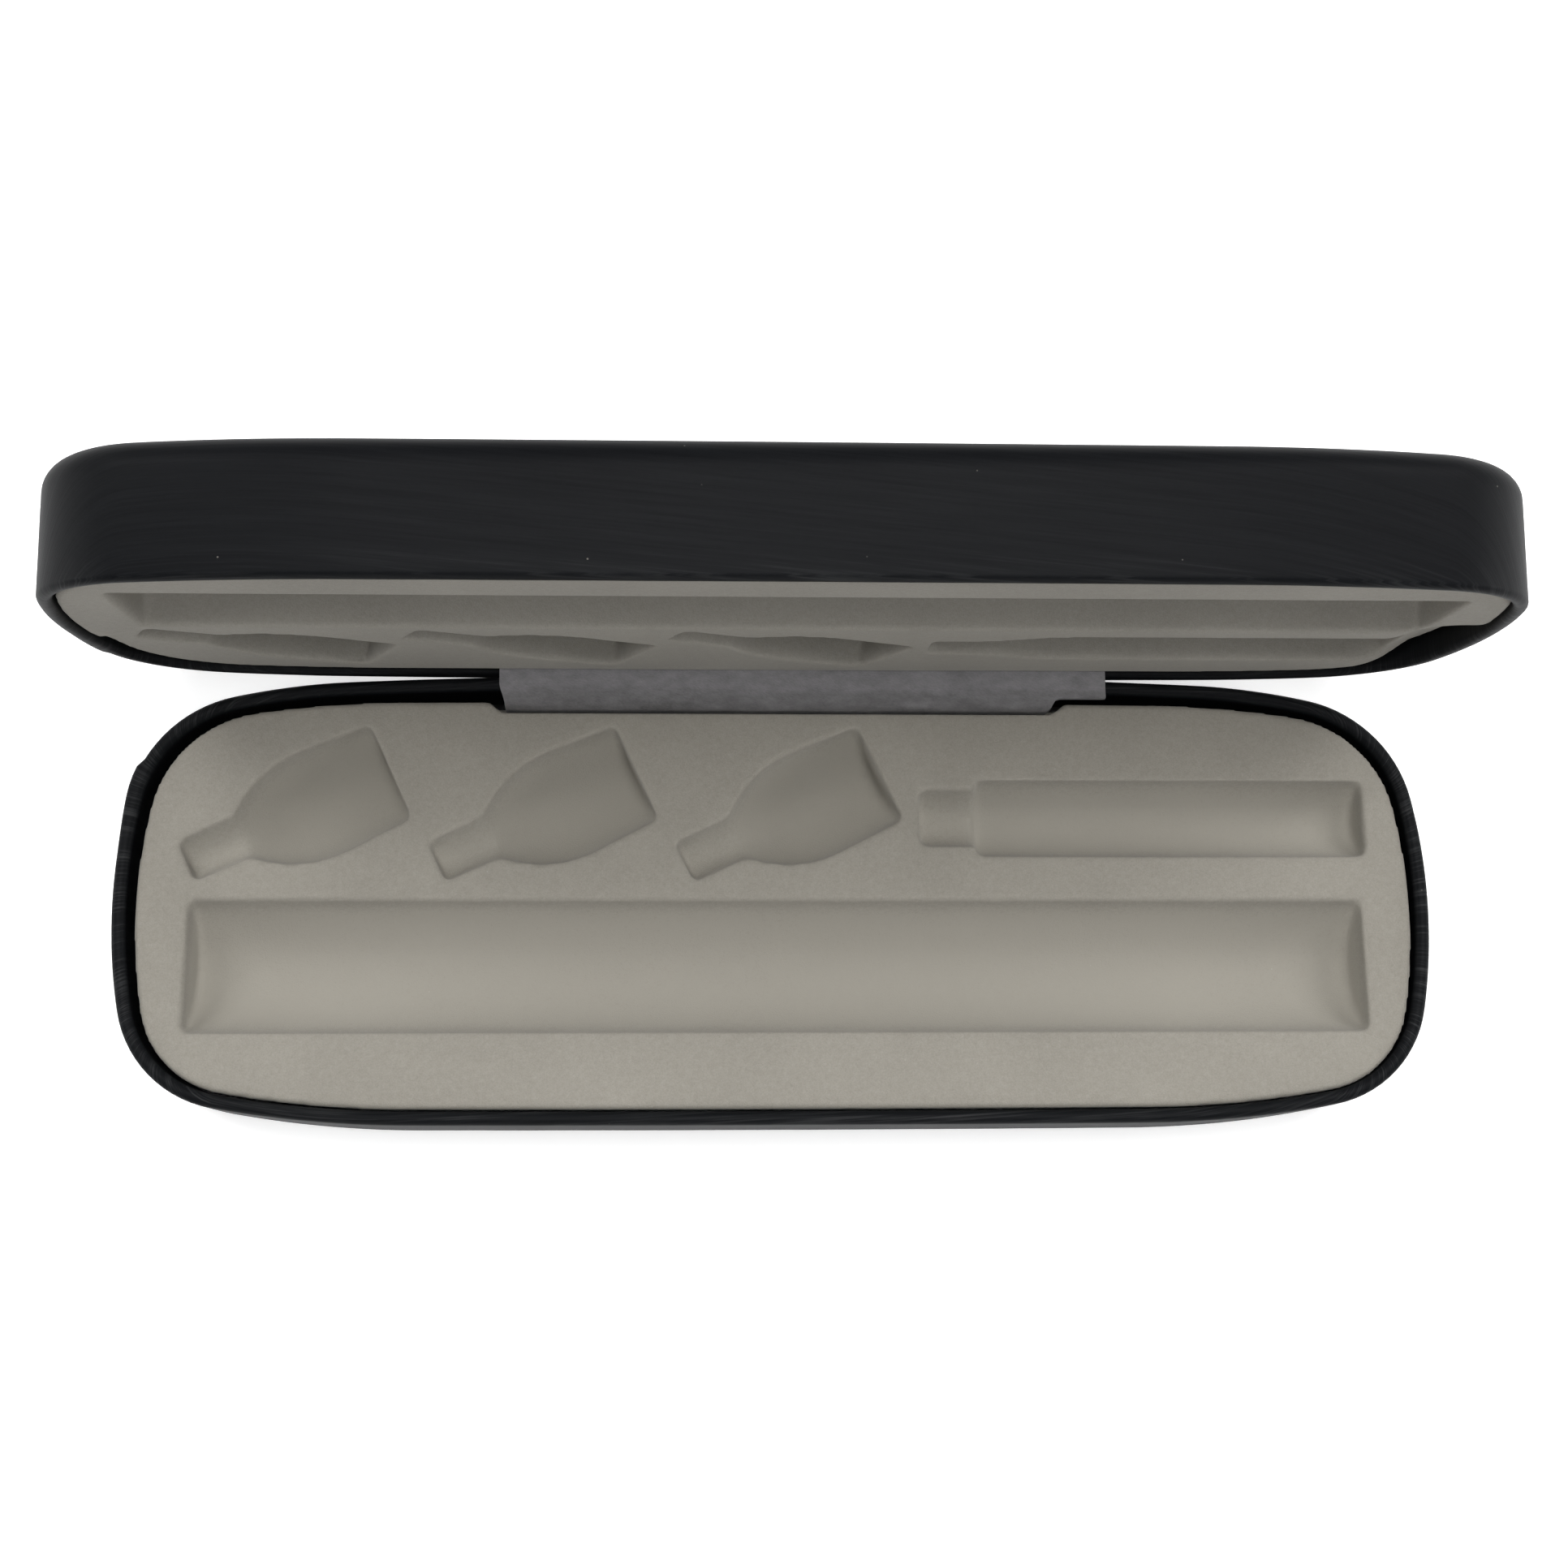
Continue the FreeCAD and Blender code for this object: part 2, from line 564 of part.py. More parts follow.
def rivets(label, side):
    """Four rivets: a flat head on the leaf and a shank through the wall, ends flush with the steel."""
    solids = []
    leaf = dim("leaf_face_y").value - dim("leaf_sheet").value
    radius = dim("side_radius").value - dim("leather").value
    middle = dim("half_width").value - dim("side_radius").value
    back = FreeCAD.Vector(0, side, 0)
    for x in rivet_places():
        outside = middle + math.sqrt(radius ** 2 - x.value ** 2) - 0.05
        foot = FreeCAD.Vector(x.value, leaf * side, dim("rivet_height").value)
        shank = Part.makeCylinder(dim("rivet_radius").value, outside - leaf, foot, back)
        head = Part.makeCylinder(dim("rivet_head_radius").value, dim("rivet_head").value, foot, back * -1)
        solids.append(shank.fuse(head).removeSplitter())
    group = doc.addObject("Part::Feature", label)
    group.Shape = Part.makeCompound(solids)
    return group


def hinge_spring(label, mirrored):
    """Torsion spring round the pin, left of the middle knuckle or mirrored to its right. One leg
    lies towards the lid leaf and one towards the base leaf."""
    left, right = -LID_INNER, -MIDDLE
    wire, radius = dim("spring_wire").value, dim("spring_radius").value
    lid_leg_angle = math.radians(dim("spring_lid_angle").value)
    base_leg_angle = math.radians(dim("spring_base_angle").value)
    turns = dim("spring_turns").value + (base_leg_angle - lid_leg_angle) / (2 * math.pi)
    play = dim("knuckle_play").value
    low = left.value + play + wire
    span = right.value - left.value - 2 * (play + wire)
    middle = FreeCAD.Vector(0, dim("axis_y").value, AXIS_BASE.value)

    def rim_point(x, angle):
        return middle + FreeCAD.Vector(x, radius * math.cos(angle), radius * math.sin(angle))

    def tangent(angle):
        return FreeCAD.Vector(0, -math.sin(angle), math.cos(angle))

    helix = Part.makeHelix(span / turns, span, radius)
    rise = FreeCAD.Vector(0, radius, span / turns / (2 * math.pi))
    section = Part.Wire(Part.Circle(FreeCAD.Vector(radius, 0, 0), rise, wire).toShape())
    coil = Part.Wire(helix).makePipeShell([section], True, True)
    upright = FreeCAD.Rotation(FreeCAD.Vector(0, 1, 0), 90)
    roll = FreeCAD.Rotation(FreeCAD.Vector(1, 0, 0), math.degrees(lid_leg_angle) + 90)
    coil.Placement = FreeCAD.Placement(middle + FreeCAD.Vector(low, 0, 0), roll.multiply(upright))

    def leg(x, angle, way, length):
        along = tangent(angle) * way
        return Part.makeCylinder(wire, length + wire, rim_point(x, angle) - along * wire, along)

    lid_leg = leg(low, lid_leg_angle, -1, dim("spring_lid_leg").value)
    base_leg = leg(low + span, base_leg_angle, 1, dim("spring_base_leg").value)
    shape = coil.fuse([lid_leg, base_leg])
    spring = doc.addObject("Part::Feature", label)
    spring.Shape = shape.mirror(FreeCAD.Vector(0, 0, 0), FreeCAD.Vector(1, 0, 0)) if mirrored else shape
    return spring


def hinge_lining(label):
    """Grey fabric strip: it starts beside the base tray, goes up and over the knuckles, and ends
    under the edge of the lid tray."""
    body = new_body(label)
    half, bend = dim("lining_sheet") * 0.5, dim("lining_bend")
    foot_y, foot_z, top = dim("lining_foot_y"), dim("lining_foot_z"), dim("lining_top")
    shoulder_y, shoulder_z = foot_y + bend, top - bend
    run = dim("lining_end_y") - dim("axis_y")
    slope = math.tan(math.radians(90 - dim("open_angle").value))
    rise = Size(run.value * slope, f"({run.formula} * tan((90 - Dims.open_angle) * 1 deg))")
    corners = [(foot_y - half, foot_z), (foot_y - half, shoulder_z, bend + half, -1),
               (shoulder_y, top + half), (dim("axis_y"), top + half),
               (dim("lining_end_y"), top + rise + half), (dim("lining_end_y"), top + rise - half),
               (dim("axis_y"), top - half), (shoulder_y, top - half, bend - half, 1),
               (foot_y + half, shoulder_z), (foot_y + half, foot_z)]
    left, right = dim("lining_left"), dim("lining_right")
    sketch = new_sketch(body, "section", role="YZ_Plane", offset=-left)
    draw_profile(sketch, corners)
    pad(body, sketch, left + right)
    foot = dim("lining_foot_half_length")
    for name, start, stop in (("trim_left", -left - 1, -foot), ("trim_right", foot, right + 1)):
        sketch = new_sketch(body, name, offset=foot_z - 1)
        edge = dim("tray_half_width") + dim("tray_shift_y") + 0.2
        draw_rectangle(sketch, start, stop, foot_y - 1, edge)
        pocket(body, sketch, TRAY_TOP - foot_z + 1.2, up=True)
    return body


def spine_cover(label):
    """Leathercloth across the gap behind the hinge. With the lid open it folds up into the gap."""
    body = new_body(label)
    half, fold, tuck = dim("spine_sheet") * 0.5, dim("spine_fold"), dim("spine_tuck")
    start_y, start_z = dim("spine_start_y"), RIM - dim("notch_depth") + 0.02
    end_z = dim("spine_end_z")
    level = end_z + tuck
    crest_y = start_y + fold
    down_y = start_y + fold * 2
    tuck_y = down_y + tuck
    corners = [(start_y - half, start_z), (start_y - half, level, fold + half, -1),
               (crest_y, level + fold + half, fold + half, -1), (down_y + half, level, tuck - half, 1),
               (tuck_y, end_z + half), (dim("spine_end_y"), end_z + half),
               (dim("spine_end_y"), end_z - half), (tuck_y, end_z - half, tuck + half, -1),
               (down_y - half, level, fold - half, 1), (crest_y, level + fold - half, fold - half, 1),
               (start_y + half, level), (start_y + half, start_z)]
    sketch = new_sketch(body, "section", role="YZ_Plane")
    draw_profile(sketch, corners)
    pad(body, sketch, dim("spine_half_length") * 2, middle=True)
    return body


def lid_placement():
    """A lid piece is modelled lying like the base, with its hinge side towards -Y. It is turned
    over onto the base and then swung open about the hinge axis."""
    flat = FreeCAD.Vector(1, 0, 0)
    over = FreeCAD.Placement(FreeCAD.Vector(0, 0, RIM.value * 2 + dim("closed_gap").value),
                             FreeCAD.Rotation(flat, 180))
    pivot = FreeCAD.Vector(0, dim("axis_y").value, AXIS_BASE.value)
    swing = FreeCAD.Placement(FreeCAD.Vector(0, 0, 0), FreeCAD.Rotation(flat, -dim("open_angle").value), pivot)
    return swing.multiply(over)


# Spans along the hinge. The base leaf has the two end knuckles and the middle one, the lid leaf
# has the two between, and a spring fills each gap that is left.
END, LID_INNER, MIDDLE = dim("knuckle_end"), dim("knuckle_lid_inner"), dim("knuckle_middle")
LEAF_END, PLAY = dim("leaf_half_length"), dim("knuckle_play")
AXIS_BASE, AXIS_LID = axis_heights()
BASE_KNUCKLES = ((-LEAF_END, -END), (-MIDDLE, MIDDLE), (END, LEAF_END))
BASE_GAPS = ((-END, -MIDDLE), (MIDDLE, END))
LID_KNUCKLES = ((PLAY - END, -LID_INNER), (LID_INNER, END - PLAY))
LID_GAPS = ((-LEAF_END, PLAY - END), (-LID_INNER, LID_INNER), (END - PLAY, LEAF_END))

base_pieces = [
    cover("base_cover", 1),
    shell("base_shell", 1),
    tray("base_tray", 1, True),
    hinge_leaf("hinge_leaf_base", 1, BASE_KNUCKLES, BASE_GAPS, AXIS_BASE),
    rivets("base_hinge_rivets", 1),
    hinge_pin("hinge_pin"),
    hinge_spring("hinge_spring_left", False),
    hinge_spring("hinge_spring_right", True),
    hinge_lining("hinge_lining"),
    spine_cover("spine_cover"),
]
lid_pieces = [
    cover("lid_cover", -1),
    shell("lid_shell", -1),
    tray("lid_tray", -1, False),
    hinge_leaf("hinge_leaf_lid", -1, LID_KNUCKLES, LID_GAPS, AXIS_LID),
    rivets("lid_hinge_rivets", -1),
]
doc.recompute()
for piece in lid_pieces:
    piece.Placement = lid_placement()
doc.recompute()

for item in doc.Objects:
    if "Invalid" in item.State or "Error" in item.State:
        raise RuntimeError(f"{item.Label} failed: {item.getStatusString()}")
for piece in base_pieces + lid_pieces:
    if piece.Shape.isNull() or not piece.Shape.isValid():
        raise RuntimeError(f"{piece.Label} has no valid shape")

os.makedirs("parts", exist_ok=True)
for piece in base_pieces + lid_pieces:
    piece.Shape.exportStep(f"parts/{piece.Label}.step")
    box = piece.Shape.BoundBox
    print(f"{piece.Label:20} {len(piece.Shape.Solids)} solids {piece.Shape.Volume:9.1f} mm3  "
          f"x {box.XMin:7.2f} {box.XMax:7.2f}  y {box.YMin:7.2f} {box.YMax:7.2f}  "
          f"z {box.ZMin:7.2f} {box.ZMax:7.2f}")
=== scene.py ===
# %% [markdown]
# # An injection pen case, open on a pale table
#
# The case is a hard clamshell. Two pressed steel shells are wrapped in black leathercloth, each
# holds a flocked tray with recesses for a pen, three pen needles and a cartridge, and a steel
# hinge under a strip of grey fabric joins them. The engineering model gives every size, so it is
# loaded first and kept as a fixed frame. What follows puts a skin, a nap and a weave on it.

# %% Load the frame
import math

import bpy
from mathutils import Matrix, Vector, kdtree, noise


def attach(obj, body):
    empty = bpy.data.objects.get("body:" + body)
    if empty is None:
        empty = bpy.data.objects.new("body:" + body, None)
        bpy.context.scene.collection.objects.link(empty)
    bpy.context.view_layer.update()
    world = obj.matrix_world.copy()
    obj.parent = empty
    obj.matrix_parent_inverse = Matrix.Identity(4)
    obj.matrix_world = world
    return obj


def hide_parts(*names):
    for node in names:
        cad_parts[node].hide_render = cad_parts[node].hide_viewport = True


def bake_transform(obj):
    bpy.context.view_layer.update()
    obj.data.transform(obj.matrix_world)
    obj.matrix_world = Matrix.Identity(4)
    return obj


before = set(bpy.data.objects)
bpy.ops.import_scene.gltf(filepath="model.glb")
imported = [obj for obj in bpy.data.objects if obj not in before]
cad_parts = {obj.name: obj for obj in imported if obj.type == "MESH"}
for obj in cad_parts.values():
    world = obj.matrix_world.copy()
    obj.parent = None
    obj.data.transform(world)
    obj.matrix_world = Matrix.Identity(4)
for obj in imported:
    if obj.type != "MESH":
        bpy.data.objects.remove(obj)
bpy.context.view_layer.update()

print("nodes:", ", ".join(sorted(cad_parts)))

# %% [markdown]
# ## Units and the two halves
#
# All sizes are written in millimetres and turned into Blender's metres in one place. The lid is
# the base's mirror image in the plane where the two halves meet, swung open about the hinge pin.
# One matrix holds that, so a piece that both halves share is modelled once, lying flat.

# %% Sizes shared by several pieces
MM = 0.001
HALF_LENGTH, HALF_WIDTH, END_RADIUS = 95.45, 33.05, 80.6
REAR, FRONT = (1400, 98, 18.8, 58.2), (10000, 157, 17.5, 51.7)
RIM, WALL, LEATHER = 17.8, 2.0, 0.75
FLAP_DEPTH, BOTTOM_RADIUS = 9, 3.9
NOTCH_HALF, NOTCH_DEPTH = 40.5, 3.2
HINGE_Y, HINGE_Z = 30.84, 16.415
CLOSED_GAP, OPEN_ANGLE = 0.35, 84.7
TRAY_TOP = 17.0

PIN = Vector((0, HINGE_Y, HINGE_Z)) * MM
MIRROR = Matrix.Translation((0, 0, (2 * RIM + CLOSED_GAP) * MM)) @ Matrix.Scale(-1, 4, (0, 0, 1))
SWING = Matrix.Translation(PIN) @ Matrix.Rotation(-math.radians(OPEN_ANGLE), 4, "X") @ Matrix.Translation(-PIN)
TO_LID = SWING @ MIRROR

# %% [markdown]
# ## Camera
#
# The photograph looks almost straight down from about 30 cm, a little from the front, so the
# near lid is drawn much larger than the base. A normal lens close by gives the same strong
# perspective. The small shift puts the view's centre where the photograph's crop has it.

# %% Camera
camera = bpy.data.objects.new("Camera", bpy.data.cameras.new("Camera"))
bpy.context.scene.collection.objects.link(camera)
bpy.context.scene.camera = camera
camera.location = Vector((-12.0, -48.03, 302.26)) * MM
camera.rotation_euler = (0.240, -0.038, -0.006)
camera.data.sensor_width = 36
camera.data.lens = 45.69
camera.data.shift_x = 0.0075
camera.data.shift_y = -0.02285
camera.data.clip_start = 0.01

# %% [markdown]
# ## Shader maths as Python
#
# A material is a small network of nodes. Written as nodes, a sum of two noises takes ten lines.
# The class below wraps a socket so that + - * and ** build the Math nodes, and `node` builds any
# other kind with its settings first and its inputs after.

# %% A socket that does sums
class Signal:
    """A number, colour or vector that flows through a material's node tree."""

    def __init__(self, tree, socket):
        self.tree = tree
        self.socket = socket

    def maths(self, operation, *values):
        return self.node("ShaderNodeMath", {"operation": operation}, values)

    def node(self, kind, settings=None, inputs=(), output=0):
        """A new node. Inputs go by position or, in a dict, by name; a Signal is linked."""
        made = self.tree.nodes.new(kind)
        for name, value in (settings or {}).items():
            setattr(made, name, value)
        pairs = inputs.items() if isinstance(inputs, dict) else enumerate(inputs)
        for key, value in pairs:
            if isinstance(value, Signal):
                self.tree.links.new(value.socket, made.inputs[key])
            else:
                made.inputs[key].default_value = value
        return Signal(self.tree, made.outputs[output])

    def __add__(self, other):
        return self.maths("ADD", self, other)

    def __radd__(self, other):
        return self.maths("ADD", other, self)

    def __sub__(self, other):
        return self.maths("SUBTRACT", self, other)

    def __rsub__(self, other):
        return self.maths("SUBTRACT", other, self)

    def __mul__(self, other):
        return self.maths("MULTIPLY", self, other)

    def __rmul__(self, other):
        return self.maths("MULTIPLY", other, self)

    def __pow__(self, power):
        return self.maths("POWER", self, power)

    def clamp(self, low, high):
        """Linear from 0 at low to 1 at high, and flat outside."""
        return self.node("ShaderNodeMapRange", {"clamp": True}, {"Value": self, "From Min": low, "From Max": high})

    def turn(self, degrees):
        """A vector turned about Z."""
        return self.node("ShaderNodeMapping", {}, {"Vector": self, "Rotation": (0, 0, math.radians(degrees))})

    def stretch(self, x, y, z):
        """A vector scaled along its axes."""
        return self.node("ShaderNodeMapping", {}, {"Vector": self, "Scale": (x, y, z)})

    def part(self, letter):
        """One coordinate of a vector: x, y or z."""
        return self.node("ShaderNodeSeparateXYZ", {}, [self], output="xyz".index(letter))

    def noise(self, scale, detail=2, roughness=0.5, distortion=0):
        return self.node("ShaderNodeTexNoise", {}, {"Vector": self, "Scale": scale, "Detail": detail,
                                                    "Roughness": roughness, "Distortion": distortion})

    def cells(self, scale, feature="F1"):
        return self.node("ShaderNodeTexVoronoi", {"feature": feature}, {"Vector": self, "Scale": scale})

    def between(self, dark, light):
        """A colour from dark, at 0, to light, at 1; each is a Signal or three numbers."""
        ends = [end if isinstance(end, Signal) else (*end, 1) for end in (dark, light)]
        return self.node("ShaderNodeMix", {"data_type": "RGBA"}, {0: self, 6: ends[0], 7: ends[1]}, output=2)


def new_material(name):
    """An empty material with its Principled shader, its tree, and the object's own coordinates."""
    material = bpy.data.materials.new(name)
    material.use_nodes = True
    tree = material.node_tree
    shader = tree.nodes["Principled BSDF"]
    place = Signal(tree, tree.nodes.new("ShaderNodeTexCoord").outputs["Object"])
    return material, shader, place


def feed(shader, **sockets):
    """Set or link the shader's sockets; base_color means Base Color."""
    for key, value in sockets.items():
        socket = shader.inputs[key.replace("_", " ").title().replace("Ior", "IOR")]
        if isinstance(value, Signal):
            value.tree.links.new(value.socket, socket)
        else:
            socket.default_value = value


def bump(height, distance):
    """A normal from a height Signal; distance is the depth in millimetres of a change of 1."""
    return height.node("ShaderNodeBump", {}, {"Strength": 1, "Distance": distance * MM, "Height": height})


# %% [markdown]
# ## Leathercloth
#
# The skin is black coated cloth with a fine brushed grain. The grain runs along the length of
# the sheet, and the sheet is pulled over the walls, so on an end wall the lines stand upright
# and on the rim they cross the fold at a slant. A pattern on the plain object coordinates would
# run through the walls instead of over them, so each vertex carries its place on the unrolled
# sheet in an attribute, and the lines read that.

# %% Leathercloth material
def leathercloth():
    material, shader, place = new_material("leathercloth")
    sheet = place.node("ShaderNodeAttribute", {"attribute_name": "unrolled"}, output=1)
    brushed = sheet.turn(5.7)
    fine = brushed.stretch(55, 2300, 0).noise(1, 3, 0.62)
    coarse = brushed.stretch(22, 520, 0).noise(1, 2, 0.5)
    grain = fine * 0.65 + coarse * 0.35
    patches = place.noise(38, 3, 0.55)
    fold = sheet.part("z") * 1000
    # Painted highlight: on the rim's crest, the top 1.2 mm, the brushed grain lines are painted lighter, for the
    # thin light lines the crest catches.
    crest_highlight = fold * grain.clamp(0.50, 0.72)
    # Painted highlights: sparse pale specks stand in for tiny glints on the leather; they are also raised a little
    # in the bump.
    glint_specks = place.cells(300).clamp(0.045, 0.02) * place.noise(90, 1).clamp(0.57, 0.62)
    tone = (grain.clamp(0.3, 0.7) * 0.6 + patches * 0.4).between((0.0030, 0.0034, 0.0042), (0.0085, 0.0093, 0.0105))
    # Painted highlight: the crest's grain lines are mixed towards a lighter grey.
    tone_and_crest_highlight = (crest_highlight * 0.8).between(tone, (0.045, 0.046, 0.047))
    # The pale specks, painted glints, are laid over the tone.
    feed(shader, base_color=(glint_specks * 0.6).between(tone_and_crest_highlight, (0.20, 0.19, 0.17)),
         roughness=0.52 - grain * 0.14 + patches * 0.08, normal=bump(grain + glint_specks * 0.8, 0.03),
         specular_ior_level=0.06)
    return material


# %% [markdown]
# ## Flocking
#
# The trays are sprayed with short upright fibres, like the inside of a jewel box. Flock has no
# gloss. It looks slightly mottled where the nap leans one way or another, it has a sandy grain
# about a fifth of a millimetre across, and a few paler fibres and dark specks lie on it; only the
# paler fibres are drawn. The sheen term lightens it where it is seen along the surface, as real nap does.

# %% Flocking material
def flocking(name, dark, light, recess_light, grain_depth):
    """recess_light is how much paler the recesses are painted, as painted light for the light bounced round inside
    them.
    """
    material, shader, place = new_material(name)
    hollow = place.node("ShaderNodeAttribute", {"attribute_name": "hollow"}, output=2)
    nap = place.noise(5200, 2, 0.6)
    tufts = place.noise(1500, 3, 0.6)
    drift = place.noise(55, 3, 0.5)
    speck = place.cells(420).clamp(0.05, 0.02) * place.noise(130, 1).clamp(0.60, 0.64)
    mottle = (nap * 0.45 + tufts * 0.3 + drift * 0.25).clamp(0.3, 0.7)
    # Painted light: the recesses are painted paler by their depth, read from the hollow attribute.
    tone = (mottle + hollow * recess_light).between(dark, light)
    feed(shader, base_color=(speck * 0.35).between(tone, (0.55, 0.54, 0.50)), roughness=0.95, normal=bump(nap * 0.5 + tufts * 0.5, grain_depth),
         specular_ior_level=0.1, sheen_weight=0.12, sheen_roughness=0.5)
    return material


# %% [markdown]
# ## Grey lining fabric
#
# The hinge is covered with a thin non-woven fabric. It is a little bluer than the trays, with a
# felted, pitted surface and a faint mottle of lighter fibres.

# %% Lining material
def lining_fabric():
    material, shader, place = new_material("lining_fabric")
    pits = place.stretch(1, 1.6, 1.6).noise(520, 3, 0.6)
    fibres = place.turn(20).stretch(1, 2.5, 2.5).noise(2100, 3, 0.65)
    mottle = place.noise(160, 2)
    streaks = place.stretch(1, 5, 5).noise(110, 2, 0.5)
    # Painted shade: the strip is painted darker below y 28.3 to 31.8 mm, where its foot turns down into the gap
    # beside the base tray and falls into shade.
    painted_shade_at_foot = (place.part("y") + streaks * 0.0022).clamp(0.0283, 0.0318)
    tone = (pits * 0.45 + fibres * 0.35 + mottle * 0.2).clamp(0.32, 0.68)
    unshaded_tone = tone.between((0.175, 0.170, 0.178), (0.290, 0.283, 0.293))
    # The darker copy of the tone is the painted shade.
    shaded_tone = tone.between((0.055, 0.053, 0.052), (0.120, 0.116, 0.115))
    feed(shader, base_color=painted_shade_at_foot.between(shaded_tone, unshaded_tone), roughness=0.85,
         normal=bump(pits * 0.7 + fibres * 0.3, 0.16), specular_ior_level=0.2, sheen_weight=0.1)
    return material


# %% [markdown]
# ## Hinge metal and the hidden shells
#
# The hinge leaves, the pin and the rivets are bright zinc-plated steel with fine scratches, and
# the springs are darker drawn wire. The pressed shells are grey-primed sheet. They only show at
# the cut edges by the hinge, but they get a real finish all the same.

# %% Metal materials
def steel(name, dark, light, roughness, metallic=1.0):
    material, shader, place = new_material(name)
    scratches = place.stretch(40, 1600, 1600).noise(1, 3, 0.6)
    cloud = place.noise(260, 3, 0.55)
    wear = scratches * 0.5 + cloud * 0.5
    feed(shader, base_color=wear.clamp(0.3, 0.7).between(dark, light), metallic=metallic,
         roughness=roughness - wear * 0.12, normal=bump(scratches, 0.004))
    return material


LEATHERCLOTH = leathercloth()
# The base tray's recesses get painted light of 0.6; the lid's get none.
FLOCK_BASE = flocking("flocking_base", (0.235, 0.221, 0.192), (0.330, 0.312, 0.273), 0.6, 0.10)
FLOCK_LID = flocking("flocking_lid", (0.232, 0.220, 0.196), (0.325, 0.310, 0.277), 0.0, 0.10)
LINING = lining_fabric()
ZINC = steel("zinc_plate", (0.42, 0.42, 0.42), (0.66, 0.66, 0.65), 0.38)
WIRE = steel("spring_wire", (0.28, 0.28, 0.29), (0.46, 0.46, 0.46), 0.34)
PRIMER = steel("primed_steel", (0.20, 0.20, 0.21), (0.30, 0.30, 0.31), 0.62, metallic=0.0)

# %% [markdown]
# ## Working in edit mode from a script
#
# The modelling operators act on what is selected, so every step picks its faces or edges by
# where they are and which way they face. `pick` does that, and `only` makes sure that nothing
# else is touched.

# %% Selection helpers
def only(*pieces):
    """Leave edit mode, and select these pieces alone; the first is the active one."""
    if bpy.context.object and bpy.context.object.mode != "OBJECT":
        bpy.ops.object.mode_set(mode="OBJECT")
    bpy.ops.object.select_all(action="DESELECT")
    for piece in pieces:
        piece.select_set(True)
    bpy.context.view_layer.objects.active = pieces[0]


def pick(piece, kind, test):
    """In edit mode, select the faces (FACE) or edges (EDGE) for which test(x, y, z, normal) holds.
    The place is the middle of the face or edge in millimetres; an edge's normal is its direction."""
    only(piece)
    bpy.ops.object.mode_set(mode="EDIT")
    bpy.ops.mesh.select_mode(type=kind)
    bpy.ops.mesh.select_all(action="DESELECT")
    bpy.ops.object.mode_set(mode="OBJECT")
    mesh = piece.data
    if kind == "FACE":
        for face in mesh.polygons:
            face.select = test(*(face.center / MM), face.normal)
        count = sum(face.select for face in mesh.polygons)
    else:
        for edge in mesh.edges:
            a, b = (mesh.vertices[number].co for number in edge.vertices)
            edge.select = test(*((a + b) / 2 / MM), (b - a).normalized())
        count = sum(edge.select for edge in mesh.edges)
    bpy.ops.object.mode_set(mode="EDIT")
    return count


def apply_modifier(piece, kind, **settings):
    only(piece)
    modifier = piece.modifiers.new(kind.title(), kind)
    for name, value in settings.items():
        setattr(modifier, name, value)
    bpy.ops.object.modifier_apply(modifier=modifier.name)


def settle(piece):
    """Put a finished piece's place into its mesh, with the object itself at the origin."""
    only(piece)
    bpy.ops.object.transform_apply(location=True, rotation=True, scale=True)


def face_outwards(piece):
    only(piece)
    bpy.ops.object.mode_set(mode="EDIT")
    bpy.ops.mesh.select_all(action="SELECT")
    bpy.ops.mesh.normals_make_consistent(inside=False)
    bpy.ops.object.mode_set(mode="OBJECT")


def dress(piece, material, slot, body, *nodes, smooth=40):
    """Give a finished piece its material and shading, and tie it to the model."""
    only(piece)
    bpy.ops.object.shade_smooth_by_angle(angle=math.radians(smooth))
    piece.data.materials.clear()
    piece.data.materials.append(material)
    if nodes:
        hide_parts(*nodes)
    if body:
        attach(piece, body)
    print(f"{piece.name}: {sum(len(face.vertices) - 2 for face in piece.data.polygons)} triangles")


def to_lid(piece):
    """Swing a piece that was modelled lying in the base into its place in the open lid."""
    piece.data.transform(TO_LID)
    piece.data.flip_normals()


# %% [markdown]
# ## The plan of the case
#
# Seen from above, the case is a long rounded shape. The two sides are nearly straight and the
# ends are curved. Between them lies a tight corner arc, which a longer arc eases into the side.
# Each side of the case is given by three radii, of the side, the easing arc and the corner, and
# by how far from the middle the easing arc has its centre. The arcs all meet smoothly. A circle
# with many vertices is added, and each vertex is slid to its place on that outline. Everything
# that follows the outline grows from such a ring.

# %% The outline
def quarter(half_length, half_width, end_radius, radii, spacing):
    """Points and outward directions of the quarter from +X to +Y, in millimetres."""
    side, ease, corner, reach = radii
    rise = math.sqrt((side - ease) ** 2 - reach ** 2)
    end_x, ease_y = half_length - end_radius, half_width - side + rise
    step_x, step_y = end_x - reach, -ease_y
    span = math.hypot(step_x, step_y)
    along = ((ease - corner) ** 2 - (end_radius - corner) ** 2 + span ** 2) / (2 * span)
    off = math.sqrt((ease - corner) ** 2 - along ** 2)
    x = reach + (step_x * along + step_y * off) / span
    y = ease_y + (step_y * along - step_x * off) / span
    turns = (0, math.atan2(y, x - end_x), math.atan2(y - ease_y, x - reach), math.atan2(rise, reach), math.pi / 2)
    arcs = ((end_x, 0, end_radius), (x, y, corner), (reach, ease_y, ease), (0, half_width - side, side))
    points = []
    for (x, y, radius), start, stop in zip(arcs, turns, turns[1:]):
        steps = max(2, round(radius * (stop - start) / spacing))
        for step in range(steps):
            angle = start + (stop - start) * step / steps
            points.append((x + radius * math.cos(angle), y + radius * math.sin(angle), angle))
    return points + [(0, half_width, math.pi / 2)]


